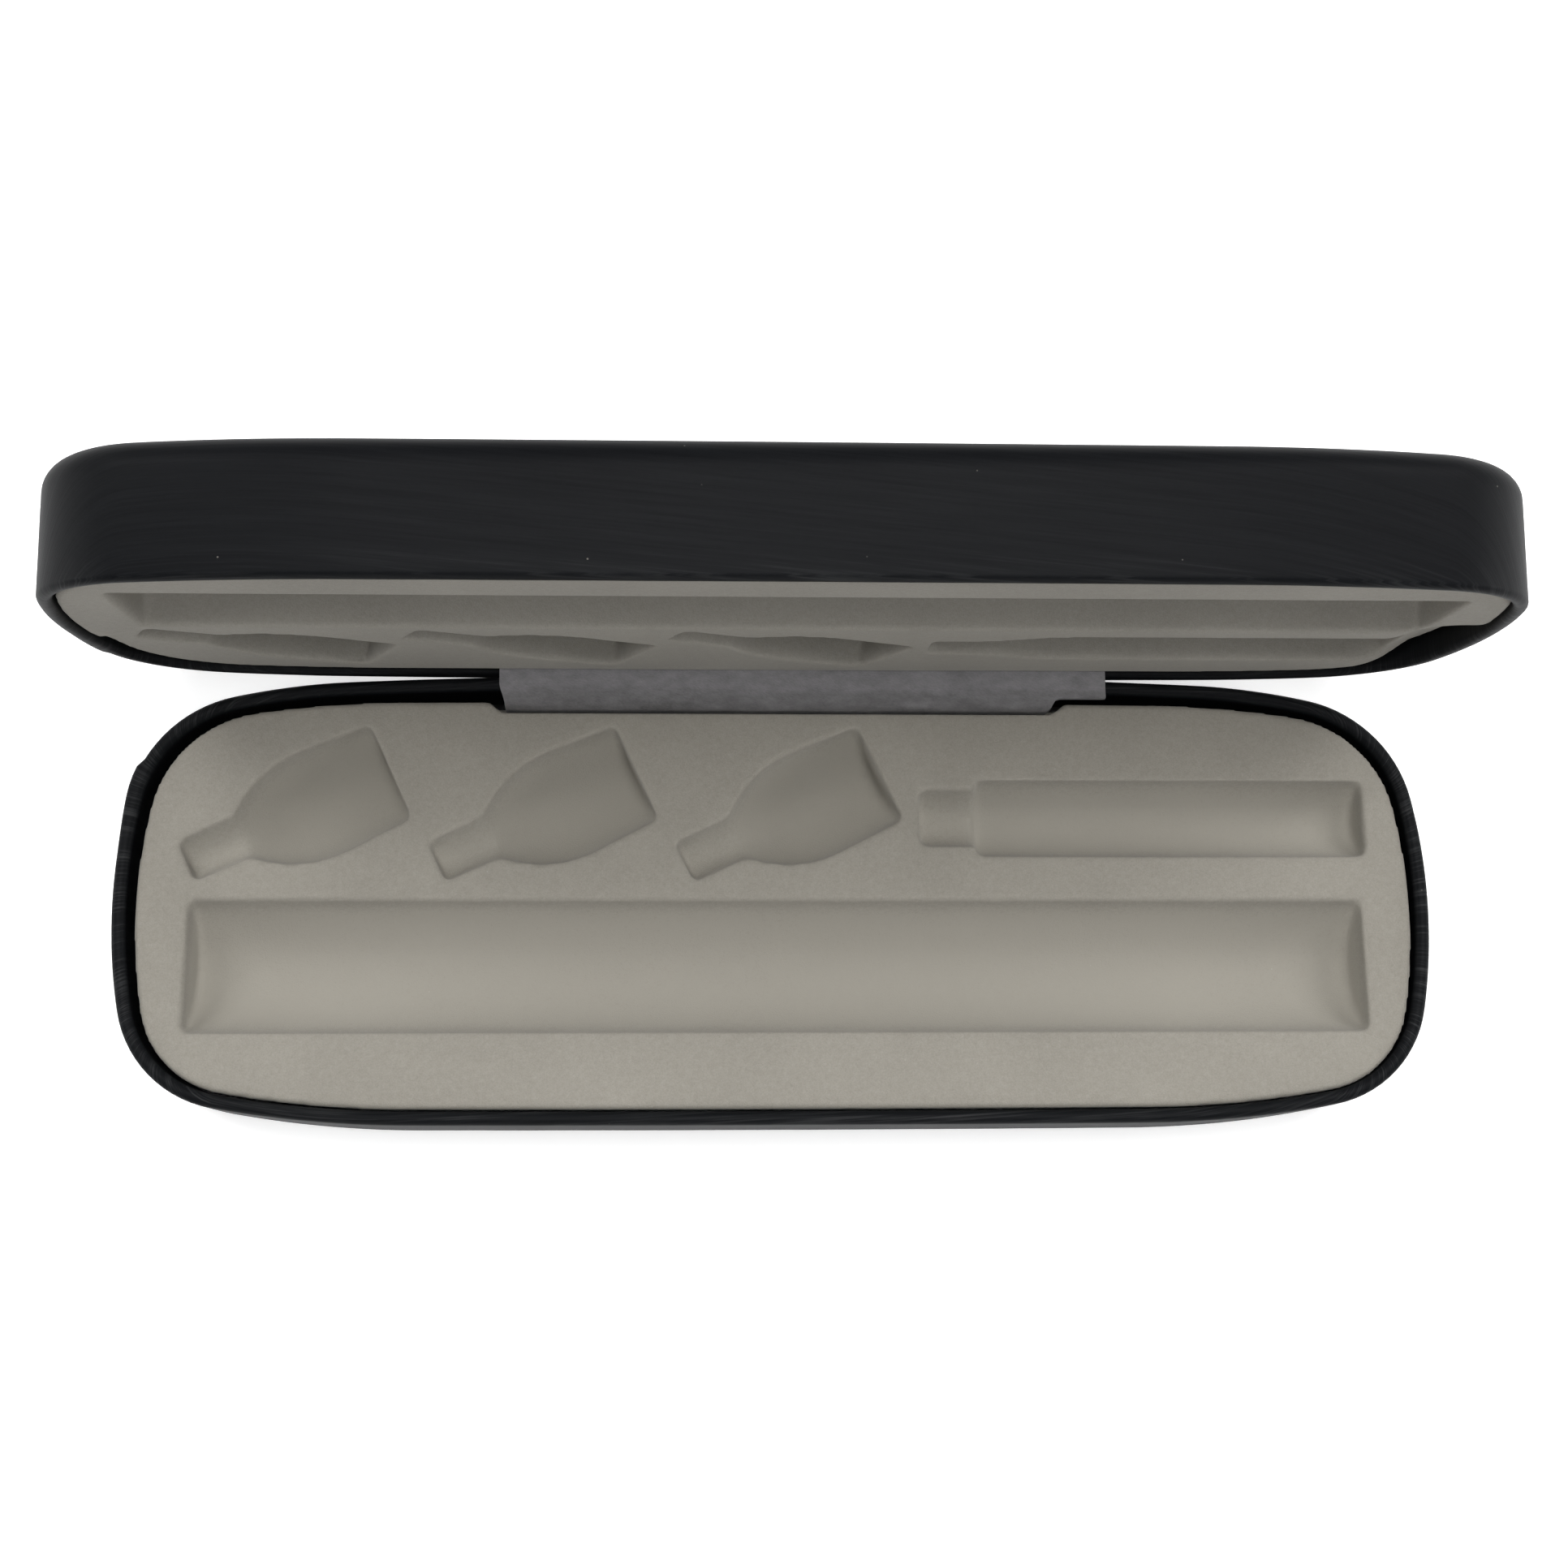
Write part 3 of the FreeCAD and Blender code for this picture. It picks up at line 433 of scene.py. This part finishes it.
def plan(half_length, half_width, end_radius, rear, front, spacing=1.5):
    """The whole outline, anticlockwise from +X; rear and front hold the radii of the two sides."""
    rear = quarter(half_length, half_width, end_radius, rear, spacing)
    front = quarter(half_length, half_width, end_radius, front, spacing)
    rear_left = [(-x, y, math.pi - angle) for x, y, angle in reversed(rear[:-1])]
    front_left = [(-x, -y, math.pi + angle) for x, y, angle in front[1:]]
    front_right = [(x, -y, -angle) for x, y, angle in reversed(front[1:-1])]
    return rear + rear_left + front_left + front_right


def ring(name, points, height):
    """A flat face with that outline, made from a circle."""
    bpy.ops.mesh.primitive_circle_add(vertices=len(points), radius=HALF_LENGTH * MM, fill_type="NGON")
    piece = bpy.context.object
    piece.name = name
    for vertex, (x, y, _) in zip(piece.data.vertices, points):
        vertex.co = (x * MM, y * MM, height * MM)
    return piece


def lift(height):
    bpy.ops.mesh.extrude_region_move(TRANSFORM_OT_translate={"value": (0, 0, height * MM)})


OUTLINE = plan(HALF_LENGTH, HALF_WIDTH, END_RADIUS, REAR, FRONT)
print("outline:", len(OUTLINE), "points,", round(max(x for x, _, _ in OUTLINE) * 2, 2), "mm long")

# %% [markdown]
# ## The skin of a half
#
# The skin is one sheet that comes up the outside, rolls over the rim and is turned in inside.
# It is raised from the outline face by extruding, the rim comes from an inset face, and its two
# edges and the bottom edge are bevelled round. The floor of the inside is then deleted, which
# leaves an open surface with the run of the cloth, and Solidify gives that its thickness.

# %% Raise and round the skin
def on_loop(x, y, direction):
    """True if an edge at (x, y) runs round the plan and not across it."""
    angle = nearest_on_plan(x, y)[2]
    return abs(direction.x * math.cos(angle) + direction.y * math.sin(angle)) < 0.5


def raw_skin(name):
    skin = ring(name, OUTLINE, 0)
    pick(skin, "FACE", lambda x, y, z, n: True)
    for height in (4.5, 7.5, 10.7, 13.9, RIM):
        lift(height - skin_top(skin))
    bpy.ops.object.mode_set(mode="OBJECT")
    face_outwards(skin)
    pick(skin, "FACE", lambda x, y, z, n: n.z > 0.9)
    bpy.ops.mesh.inset(thickness=WALL * MM, depth=0, use_even_offset=True)
    lift(-2)
    lift(-(FLAP_DEPTH - 2))
    bpy.ops.mesh.delete(type="FACE")
    pick(skin, "EDGE", lambda x, y, z, n: z < 0.01)
    bpy.ops.mesh.bevel(offset=BOTTOM_RADIUS * MM, segments=9, affect="EDGES", clamp_overlap=False)
    count = pick(skin, "EDGE", lambda x, y, z, n: z > RIM - 0.01 and on_loop(x, y, n))
    bpy.ops.mesh.bevel(offset=WALL * 0.47 * MM, segments=6, affect="EDGES", clamp_overlap=False)
    bpy.ops.object.mode_set(mode="OBJECT")
    print(f"{name}: {count} rim edges rounded, top at {skin_top(skin):.2f} mm")
    return skin


PLAN_TREE = kdtree.KDTree(len(OUTLINE))
for number, (x, y, _) in enumerate(OUTLINE):
    PLAN_TREE.insert((x, y, 0), number)
PLAN_TREE.balance()


def nearest_on_plan(x, y):
    return OUTLINE[PLAN_TREE.find((x, y, 0))[1]]


def skin_top(piece):
    """The piece's highest point in millimetres, also in edit mode."""
    piece.update_from_editmode()
    return max(vertex.co.z for vertex in piece.data.vertices) / MM


def cut_for_hinge(skin):
    """Cut the rear wall down between the hinge's ends, and take the turned-in flap away there."""
    for place, normal in (((-NOTCH_HALF, 0, 0), (1, 0, 0)), ((NOTCH_HALF, 0, 0), (1, 0, 0)),
                          ((0, 0, RIM - NOTCH_DEPTH), (0, 0, 1))):
        pick(skin, "FACE", lambda x, y, z, n: y > 25 and z > 5 and abs(x) < NOTCH_HALF + 6)
        bpy.ops.mesh.bisect(plane_co=Vector(place) * MM, plane_no=normal)
    pick(skin, "FACE", lambda x, y, z, n: abs(x) < NOTCH_HALF and y > 25
         and (z > RIM - NOTCH_DEPTH or (n.y < -0.5 and z > 5)))
    bpy.ops.mesh.delete(type="FACE")
    bpy.ops.object.mode_set(mode="OBJECT")


# %% [markdown]
# ## Where each point lies on the unrolled sheet
#
# The grain needs the sheet's own coordinates. For a point on the outside, that is the place on
# the bottom where the sheet starts to bend, plus the way it has been pulled up, over the rim and
# down again, laid out along the outward direction.

# %% Unrolled coordinates
def run_of(inset, height):
    """How far the cloth has come from the flat bottom, in millimetres."""
    arc = BOTTOM_RADIUS * math.pi / 2
    if height < 0.01:
        return BOTTOM_RADIUS - inset
    if height < BOTTOM_RADIUS and inset < BOTTOM_RADIUS:
        return BOTTOM_RADIUS * math.atan2(BOTTOM_RADIUS - inset, BOTTOM_RADIUS - height)
    if inset < 0.05:
        return arc + height - BOTTOM_RADIUS
    crown = arc + RIM - BOTTOM_RADIUS
    if height > RIM - WALL / 2:
        return crown - WALL / 2 + math.pi / 2 * inset
    return crown + RIM - height


def unroll(piece):
    sheet = piece.data.attributes.new("unrolled", "FLOAT_VECTOR", "POINT")
    for vertex, item in zip(piece.data.vertices, sheet.data):
        x, y, z = vertex.co / MM
        foot_x, foot_y, angle = nearest_on_plan(x, y)
        nx, ny = math.cos(angle), math.sin(angle)
        inset = max(0, (foot_x - x) * nx + (foot_y - y) * ny)
        run = run_of(inset, z) + inset
        # The third coordinate is 1 on the rim's crest and 0 below it; the leathercloth paints its highlight there.
        fold = max(0, 1 - (RIM - z) / 1.2)
        item.vector = ((x + nx * run) * MM, (y + ny * run) * MM, fold * MM)


# %% [markdown]
# ## The lap of the sheet, and its unevenness
#
# Where the two ends of the wrapping meet, at the left end of each half, one lies over the other.
# That shows as a small step in the outline, so the wall is moved out by the thickness of the
# cloth on one side of the lap, and runs back to its place over the next 14 mm. Cloth over a
# shell is also never dead flat, and a little noise along the normals gives it that.

# %% Make both covers
def smooth_step(value, low, high):
    share = min(1, max(0, (value - low) / (high - low)))
    return share * share * (3 - 2 * share)


def lap(piece, y_of_lap):
    for vertex in piece.data.vertices:
        x, y, z = vertex.co / MM
        if x > -60 or y > y_of_lap:
            continue
        foot_x, foot_y, angle = nearest_on_plan(x, y)
        inset = (foot_x - x) * math.cos(angle) + (foot_y - y) * math.sin(angle)
        step = 0.5 * smooth_step(y, y_of_lap - 14, y_of_lap) * smooth_step(z, 1, 5) * smooth_step(-inset, -1.9, -0.9)
        vertex.co += Vector((math.cos(angle), math.sin(angle), 0)) * step * MM


def relax_cloth(piece, depth, size):
    for vertex in piece.data.vertices:
        if vertex.co.z > 0.5 * MM:
            swell = noise.noise(vertex.co / (size * MM)) + 0.5 * noise.noise(vertex.co / (size * 0.35 * MM))
            vertex.co -= vertex.normal * depth * MM * (0.6 + 0.4 * swell)


def make_cover(name, y_of_lap):
    cover = raw_skin(name)
    cut_for_hinge(cover)
    unroll(cover)
    lap(cover, y_of_lap)
    relax_cloth(cover, 0.05, 14)
    apply_modifier(cover, "SOLIDIFY", thickness=LEATHER * MM, offset=-1, use_even_offset=True)
    return cover


cover_base = make_cover("cover_base", 18.7)
cover_lid = make_cover("cover_lid", 14.0)
to_lid(cover_lid)
dress(cover_base, LEATHERCLOTH, "leathercloth", "base", "base_cover")
dress(cover_lid, LEATHERCLOTH, "leathercloth", "lid", "lid_cover")

# %% [markdown]
# ## The flocked trays
#
# A tray is a thin sheet drawn down over a mould, so its edges are soft everywhere and no recess
# has a sharp corner. The mould is built as a solid block with its recesses cut out of it. A voxel
# remesh then turns the block into an even skin of small faces, and smoothing rounds each edge by
# the same amount, much as the hot sheet did. The underside is taken away and Solidify gives the
# sheet its gauge.

# %% Tools that cut the recesses
TRAY_HALF_LENGTH, TRAY_HALF_WIDTH, TRAY_END_RADIUS = 92.6, 29.98, 76
TRAY_REAR, TRAY_FRONT = (4400, 148, 17.2, 54.5), (10000, 152, 14.6, 52.3)
TRAY_SHIFT_X, TRAY_SHIFT_Y = 0.3, -0.9
TROUGH_X, TROUGH_Y, TROUGH_LENGTH, TROUGH_WIDTH, TROUGH_DEPTH = 0.4, -10.44, 170, 19.1, 8
CARTRIDGE_X, CARTRIDGE_Y = 86.7, 11.35
NEEDLE_X, NEEDLE_Y, NEEDLE_PITCH, NEEDLE_ANGLE = -85.36, 4.76, 35.9, 25
CARTRIDGE_PROFILE = [(0, 5.1), (0.5, 5.65), (56.9, 5.65), (57.5, 5.1), (57.5, 4.2), (65.3, 4.2), (65.8, 3.7)]
CARTRIDGE_IN_LID = [(0, 6.6), (1.0, 7.4), (47, 7.4), (50, 7.1), (56, 5.0), (57.5, 4.4), (65.3, 4.2), (65.8, 3.7)]
NEEDLE_PROFILE = [(0, 2.8), (0.4, 3.2), (8.4, 3.2), (9.0, 3.65), (10.5, 4.85), (12, 5.87), (14, 6.89), (16, 7.59),
                  (18, 8.01), (20.5, 8.2), (25, 8.0), (31.1, 7.72), (31.7, 7.2)]


def turned_tool(name, profile, place, angle):
    """A round tool lying on the tray's top plane: a circle pulled along and scaled at each step."""
    bpy.ops.mesh.primitive_circle_add(vertices=64, radius=profile[0][1] * MM, fill_type="NGON", rotation=(0, math.pi / 2, 0))
    tool = bpy.context.object
    tool.name = name
    tool.location.x = profile[0][0] * MM
    settle(tool)
    pick(tool, "FACE", lambda x, y, z, n: True)
    for (here, radius), (there, wider) in zip(profile, profile[1:]):
        bpy.ops.mesh.extrude_region_move(TRANSFORM_OT_translate={"value": ((there - here) * MM, 0, 0)})
        bpy.ops.transform.resize(value=(1, wider / radius, wider / radius), center_override=(there * MM, 0, 0))
    bpy.ops.object.mode_set(mode="OBJECT")
    face_outwards(tool)
    tool.rotation_euler.z = math.radians(angle)
    tool.location = Vector((*place, TRAY_TOP)) * MM
    settle(tool)
    return tool


def trough_tool():
    """The pen's channel: a long round bar, sunk to the trough's depth."""
    half = TROUGH_WIDTH / 2
    radius = (half ** 2 + TROUGH_DEPTH ** 2) / (2 * TROUGH_DEPTH)
    bpy.ops.mesh.primitive_cylinder_add(vertices=160, radius=radius * MM, depth=TROUGH_LENGTH * MM,
                                        rotation=(0, math.pi / 2, 0),
                                        location=Vector((TROUGH_X, TROUGH_Y, TRAY_TOP - TROUGH_DEPTH + radius)) * MM)
    tool = bpy.context.object
    tool.name = "trough_tool"
    settle(tool)
    return tool


def notch_tool():
    """The step at the hinge, with a short slope at each end of it."""
    points = [(-40.45, 27, 0), (40.9, 27, 0), (43.3, 29, 0), (43.3, 34, 0), (-42.85, 34, 0), (-42.85, 29, 0)]
    tool = ring("notch_tool", points, TRAY_TOP - 3.2)
    pick(tool, "FACE", lambda x, y, z, n: True)
    lift(6)
    bpy.ops.object.mode_set(mode="OBJECT")
    face_outwards(tool)
    pick(tool, "EDGE", lambda x, y, z, n: abs(n.z) > 0.9 and y < 30)
    bpy.ops.mesh.bevel(offset=0.7 * MM, segments=4, affect="EDGES")
    bpy.ops.object.mode_set(mode="OBJECT")
    return tool


# %% Form a tray
TRAY_OUTLINE = [(x + TRAY_SHIFT_X, y + TRAY_SHIFT_Y, angle)
                for x, y, angle in plan(TRAY_HALF_LENGTH, TRAY_HALF_WIDTH, TRAY_END_RADIUS,
                                        TRAY_REAR, TRAY_FRONT, spacing=1)]
TRAY_TREE = kdtree.KDTree(len(TRAY_OUTLINE))
for number, (x, y, _) in enumerate(TRAY_OUTLINE):
    TRAY_TREE.insert((x, y, 0), number)
TRAY_TREE.balance()


def tray_block(name):
    block = ring(name, TRAY_OUTLINE, TRAY_TOP)
    pick(block, "FACE", lambda x, y, z, n: True)
    lift(-13)
    taper = 13 * math.tan(math.radians(7))
    bpy.ops.transform.resize(value=(1 - taper / TRAY_HALF_LENGTH, 1 - taper / TRAY_HALF_WIDTH, 1),
                             center_override=Vector((TRAY_SHIFT_X, TRAY_SHIFT_Y, 0)) * MM)
    bpy.ops.object.mode_set(mode="OBJECT")
    face_outwards(block)
    pick(block, "EDGE", lambda x, y, z, n: z > TRAY_TOP - 0.01)
    bpy.ops.mesh.bevel(offset=0.5 * MM, segments=3, affect="EDGES")
    bpy.ops.object.mode_set(mode="OBJECT")
    return block


def form_tray(name, tools, grain=0.5):
    """Cut the tools out of a block, soften it and keep the outer sheet."""
    block = tray_block(name)
    for tool in tools:
        apply_modifier(block, "BOOLEAN", operation="DIFFERENCE", object=tool, solver="EXACT")
        bpy.data.objects.remove(tool)
    apply_modifier(block, "REMESH", mode="VOXEL", voxel_size=grain * MM, adaptivity=0)
    apply_modifier(block, "SMOOTH", factor=0.5, iterations=2)
    inner = block.vertex_groups.new(name="recesses")
    inner.add([vertex.index for vertex in block.data.vertices
               if TRAY_TREE.find((vertex.co.x / MM, vertex.co.y / MM, 0))[2] > 2.2], 1, "REPLACE")
    apply_modifier(block, "SMOOTH", factor=0.5, iterations=5, vertex_group="recesses")
    pick(block, "FACE", lambda x, y, z, n: z < TRAY_TOP - 12.6)
    bpy.ops.mesh.delete(type="FACE")
    bpy.ops.object.mode_set(mode="OBJECT")
    # How deep a point lies in a recess; the flock material paints the recesses paler by it, as painted light.
    hollow = block.data.attributes.new("hollow", "FLOAT", "POINT")
    for vertex, item in zip(block.data.vertices, hollow.data):
        inside = TRAY_TREE.find((vertex.co.x / MM, vertex.co.y / MM, 0))[2]
        item.value = smooth_step(TRAY_TOP - vertex.co.z / MM, 0.5, 5) * smooth_step(inside, 2, 4)
    xs, ys, zs = zip(*(vertex.co / MM for vertex in block.data.vertices))
    print(f"{name}: x {min(xs):.2f} to {max(xs):.2f}, y {min(ys):.2f} to {max(ys):.2f}, top {max(zs):.2f} mm")
    return block


def recess_tools(cartridge_profile, longer_neck=0):
    tools = [trough_tool()]
    tools.append(turned_tool("cartridge_tool", cartridge_profile, (CARTRIDGE_X, CARTRIDGE_Y), 180))
    needle_profile = [(x - longer_neck if x < 1 else x, radius) for x, radius in NEEDLE_PROFILE]
    for number in range(3):
        place = (NEEDLE_X + NEEDLE_PITCH * number, NEEDLE_Y)
        tools.append(turned_tool(f"needle_tool_{number + 1}", needle_profile, place, NEEDLE_ANGLE))
    return tools


# %% [markdown]
# ## The buckles in the lid's tray
#
# The lid's tray isn't glued down evenly. Its left end stands a little proud, up to a crease that
# runs to the corner of the first needle recess. The corner by the hinge at the right end has
# sunk in, which bares the black wall there. Both ends also reach right to the wall. Each vertex
# is moved by products of smooth steps, so the creases stay where they are and the rest is flat.

# %% Make both trays
def buckle(tray):
    for vertex in tray.data.vertices:
        x, y, z = vertex.co / MM
        past_crease = -(x + 92.6) * 0.604 - (y - 7.1) * 0.797
        proud = 0.35 * smooth_step(past_crease, 0, 1.6) * smooth_step(-x, 82, 90) * smooth_step(y, -26, -8)
        sunk = 2.6 * smooth_step(y, -8, 7) * smooth_step(-y, -25, -15) * smooth_step(x, 82, 91)
        wider = 1 - smooth_step(y, 2, 9)
        vertex.co.z += (proud - sunk) * MM
        vertex.co.x += (0.45 * smooth_step(x, 86, 92) - 0.9 * smooth_step(-x, 86, 92)) * wider * MM


tray_base = form_tray("tray_base", recess_tools(CARTRIDGE_PROFILE) + [notch_tool()])
tray_lid = form_tray("tray_lid", recess_tools(CARTRIDGE_IN_LID, longer_neck=1.2))
buckle(tray_lid)
to_lid(tray_lid)
for piece in (tray_base, tray_lid):
    apply_modifier(piece, "DECIMATE", ratio=0.5)
    apply_modifier(piece, "SOLIDIFY", thickness=0.7 * MM, offset=-1)
dress(tray_base, FLOCK_BASE, "flocking", "base", "base_tray", smooth=180)
dress(tray_lid, FLOCK_LID, "flocking", "lid", "lid_tray", smooth=180)

# %% [markdown]
# ## The lining over the hinge
#
# A strip of fabric is glued between the tray of the base and the tray of the lid. It goes up
# beside the base tray, over the knuckles and on under the lid tray's edge. A flat grid has one
# side laid along that path, step by step, and its lower edge is left slightly wavy.

# %% Lay a grid along a path
def laid_strip(name, path, left, right, across, waviness=0):
    """A grid whose rows follow path, points (y, z) in millimetres, between left and right."""
    lengths = [0]
    for (ya, za), (yb, zb) in zip(path, path[1:]):
        lengths.append(lengths[-1] + math.hypot(yb - ya, zb - za))
    rows = 44
    bpy.ops.mesh.primitive_grid_add(x_subdivisions=across, y_subdivisions=rows, size=1)
    piece = bpy.context.object
    piece.name = name
    for vertex in piece.data.vertices:
        way = (vertex.co.y + 0.5) * lengths[-1]
        step = max(number for number, run in enumerate(lengths[:-1]) if run <= way + 1e-9)
        share = (way - lengths[step]) / (lengths[step + 1] - lengths[step])
        y = path[step][0] + (path[step + 1][0] - path[step][0]) * share
        z = path[step][1] + (path[step + 1][1] - path[step][1]) * share
        x = left + (right - left) * (vertex.co.x + 0.5)
        ripple = waviness * noise.noise(Vector((x / 9, way / 6, 0)))
        vertex.co = Vector((x, y + ripple * 0.6, z + ripple)) * MM
    return piece, lengths[-1]


def bend(y, z, radius, start, stop, steps=10):
    """Points of an arc about (y, z); angles in degrees."""
    angles = [math.radians(start + (stop - start) * step / steps) for step in range(steps + 1)]
    return [(y + radius * math.cos(angle), z + radius * math.sin(angle)) for angle in angles]


lining_path = [(27.6, 14.3)] + bend(29.33, 16.25, 1.73, 180, 90) + [(30.84, 17.98), (38.1, 18.65)]
lining, lining_length = laid_strip("lining", lining_path, -41, 49, 120, waviness=0.12)
for vertex in lining.data.vertices:
    x, y, z = vertex.co / MM
    if x < 0:
        vertex.co.x *= 1 - 0.022 * smooth_step(-y, -31.5, -27.6)
    elif x > 40.2:
        low = smooth_step(x, 40.2, 41.8)
        vertex.co.y = max(vertex.co.y, (27.6 + 1.95 * low) * MM)
        vertex.co.z = max(vertex.co.z, (14.3 + 2.6 * low) * MM)
apply_modifier(lining, "SOLIDIFY", thickness=0.4 * MM, offset=0)
face_outwards(lining)
dress(lining, LINING, "lining_fabric", None, "hinge_lining")
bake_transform(lining)

# %% The spine behind the hinge
spine_path = [(32.7, 14.62), (32.7, 15.6)] + bend(33.7, 15.6, 1, 180, 0) + bend(35.25, 15.6, 0.55, 180, 270) + [(35.85, 15.05)]
spine, spine_length = laid_strip("spine", spine_path, -40.3, 40.3, 80)
apply_modifier(spine, "SOLIDIFY", thickness=0.7 * MM, offset=0)
face_outwards(spine)
dress(spine, LEATHERCLOTH, "leathercloth", None, "spine_cover")
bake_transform(spine)

# %% [markdown]
# ## Parts that stay as they were engineered
#
# The hinge leaves, the pin, the rivets, the springs and the steel shells have their true shape
# already. They only need their finish.

# %% Finish the engineered parts
FINISHES = {"base_shell": PRIMER, "lid_shell": PRIMER, "hinge_leaf_base": ZINC, "hinge_leaf_lid": ZINC,
            "hinge_pin": ZINC, "base_hinge_rivets": ZINC, "lid_hinge_rivets": ZINC,
            "hinge_spring_left": WIRE, "hinge_spring_right": WIRE}
for node, finish in FINISHES.items():
    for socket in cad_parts[node].material_slots:
        socket.material = finish

# %% [markdown]
# ## Table and light
#
# The photograph has a white ground and hardly any shadow. The floor shows as white by itself,
# with a soft shadow under the case. The light is one very large soft lamp overhead, a weaker one
# from the front, and an even sky, so that a colour renders about as it is written.

# %% Floor
def looked_at(tree):
    """1 for what the camera sees, straight or in a gloss, and 0 for light on its way."""
    path = tree.nodes.new("ShaderNodeLightPath")
    rays = [Signal(tree, path.outputs[name]) for name in ("Is Camera Ray", "Is Glossy Ray", "Is Transmission Ray")]
    return rays[0].maths("MAXIMUM", rays[0], rays[1].maths("MAXIMUM", rays[1], rays[2]))


bpy.ops.mesh.primitive_plane_add(size=8, location=(0, 0, -0.0002))
floor = bpy.context.object
floor.name = "floor"
ground = bpy.data.materials.new("white_ground")
ground.use_nodes = True
tree = ground.node_tree
tree.nodes.clear()
seen = looked_at(tree)
paper = seen.node("ShaderNodeBsdfDiffuse", {}, {"Color": seen.between((0.75, 0.75, 0.75), (0.95, 0.95, 0.95))})
glow = seen.node("ShaderNodeEmission", {}, {"Color": (1, 1, 1, 1), "Strength": seen * 0.4})
both = seen.node("ShaderNodeAddShader", {}, [paper, glow])
tree.links.new(both.socket, tree.nodes.new("ShaderNodeOutputMaterial").inputs["Surface"])
floor.data.materials.append(ground)


# %% Lamps and sky
def lamp(name, place, aim, width, depth, power):
    data = bpy.data.lights.new(name, "AREA")
    data.shape = "ELLIPSE"
    data.size, data.size_y = width, depth
    data.energy = power
    made = bpy.data.objects.new(name, data)
    bpy.context.scene.collection.objects.link(made)
    made.location = place
    made.rotation_euler = (Vector(aim) - Vector(place)).to_track_quat("-Z", "Y").to_euler()


lamp("overhead", (0.05, 0.0, 1.3), (0, 0, 0), 1.0, 0.7, 12.5)
lamp("back_left", (-0.8, 0.6, 0.9), (0, 0, 0.02), 0.6, 0.6, 5.5)
lamp("back_right", (0.8, 0.6, 0.9), (0, 0, 0.02), 0.6, 0.6, 6)
lamp("low_left", (-1.4, 0.0, 0.35), (0, 0, 0.02), 0.6, 0.6, 5.5)
lamp("low_right", (1.4, 0.0, 0.35), (0, 0, 0.02), 0.6, 0.6, 6)
lamp("low_front", (0.0, -1.3, 0.4), (0, 0, 0.02), 0.8, 0.6, 5)
world = bpy.data.worlds.new("sky")
bpy.context.scene.world = world
world.use_nodes = True
sky = world.node_tree.nodes["Background"]
sky.inputs["Color"].default_value = (0.97, 0.98, 1.0, 1)
around = Signal(world.node_tree, world.node_tree.nodes.new("ShaderNodeLightPath").outputs["Is Camera Ray"])
world.node_tree.links.new((around * 0.97 + 0.03).socket, sky.inputs["Strength"])
bpy.context.scene.view_settings.view_transform = "Standard"
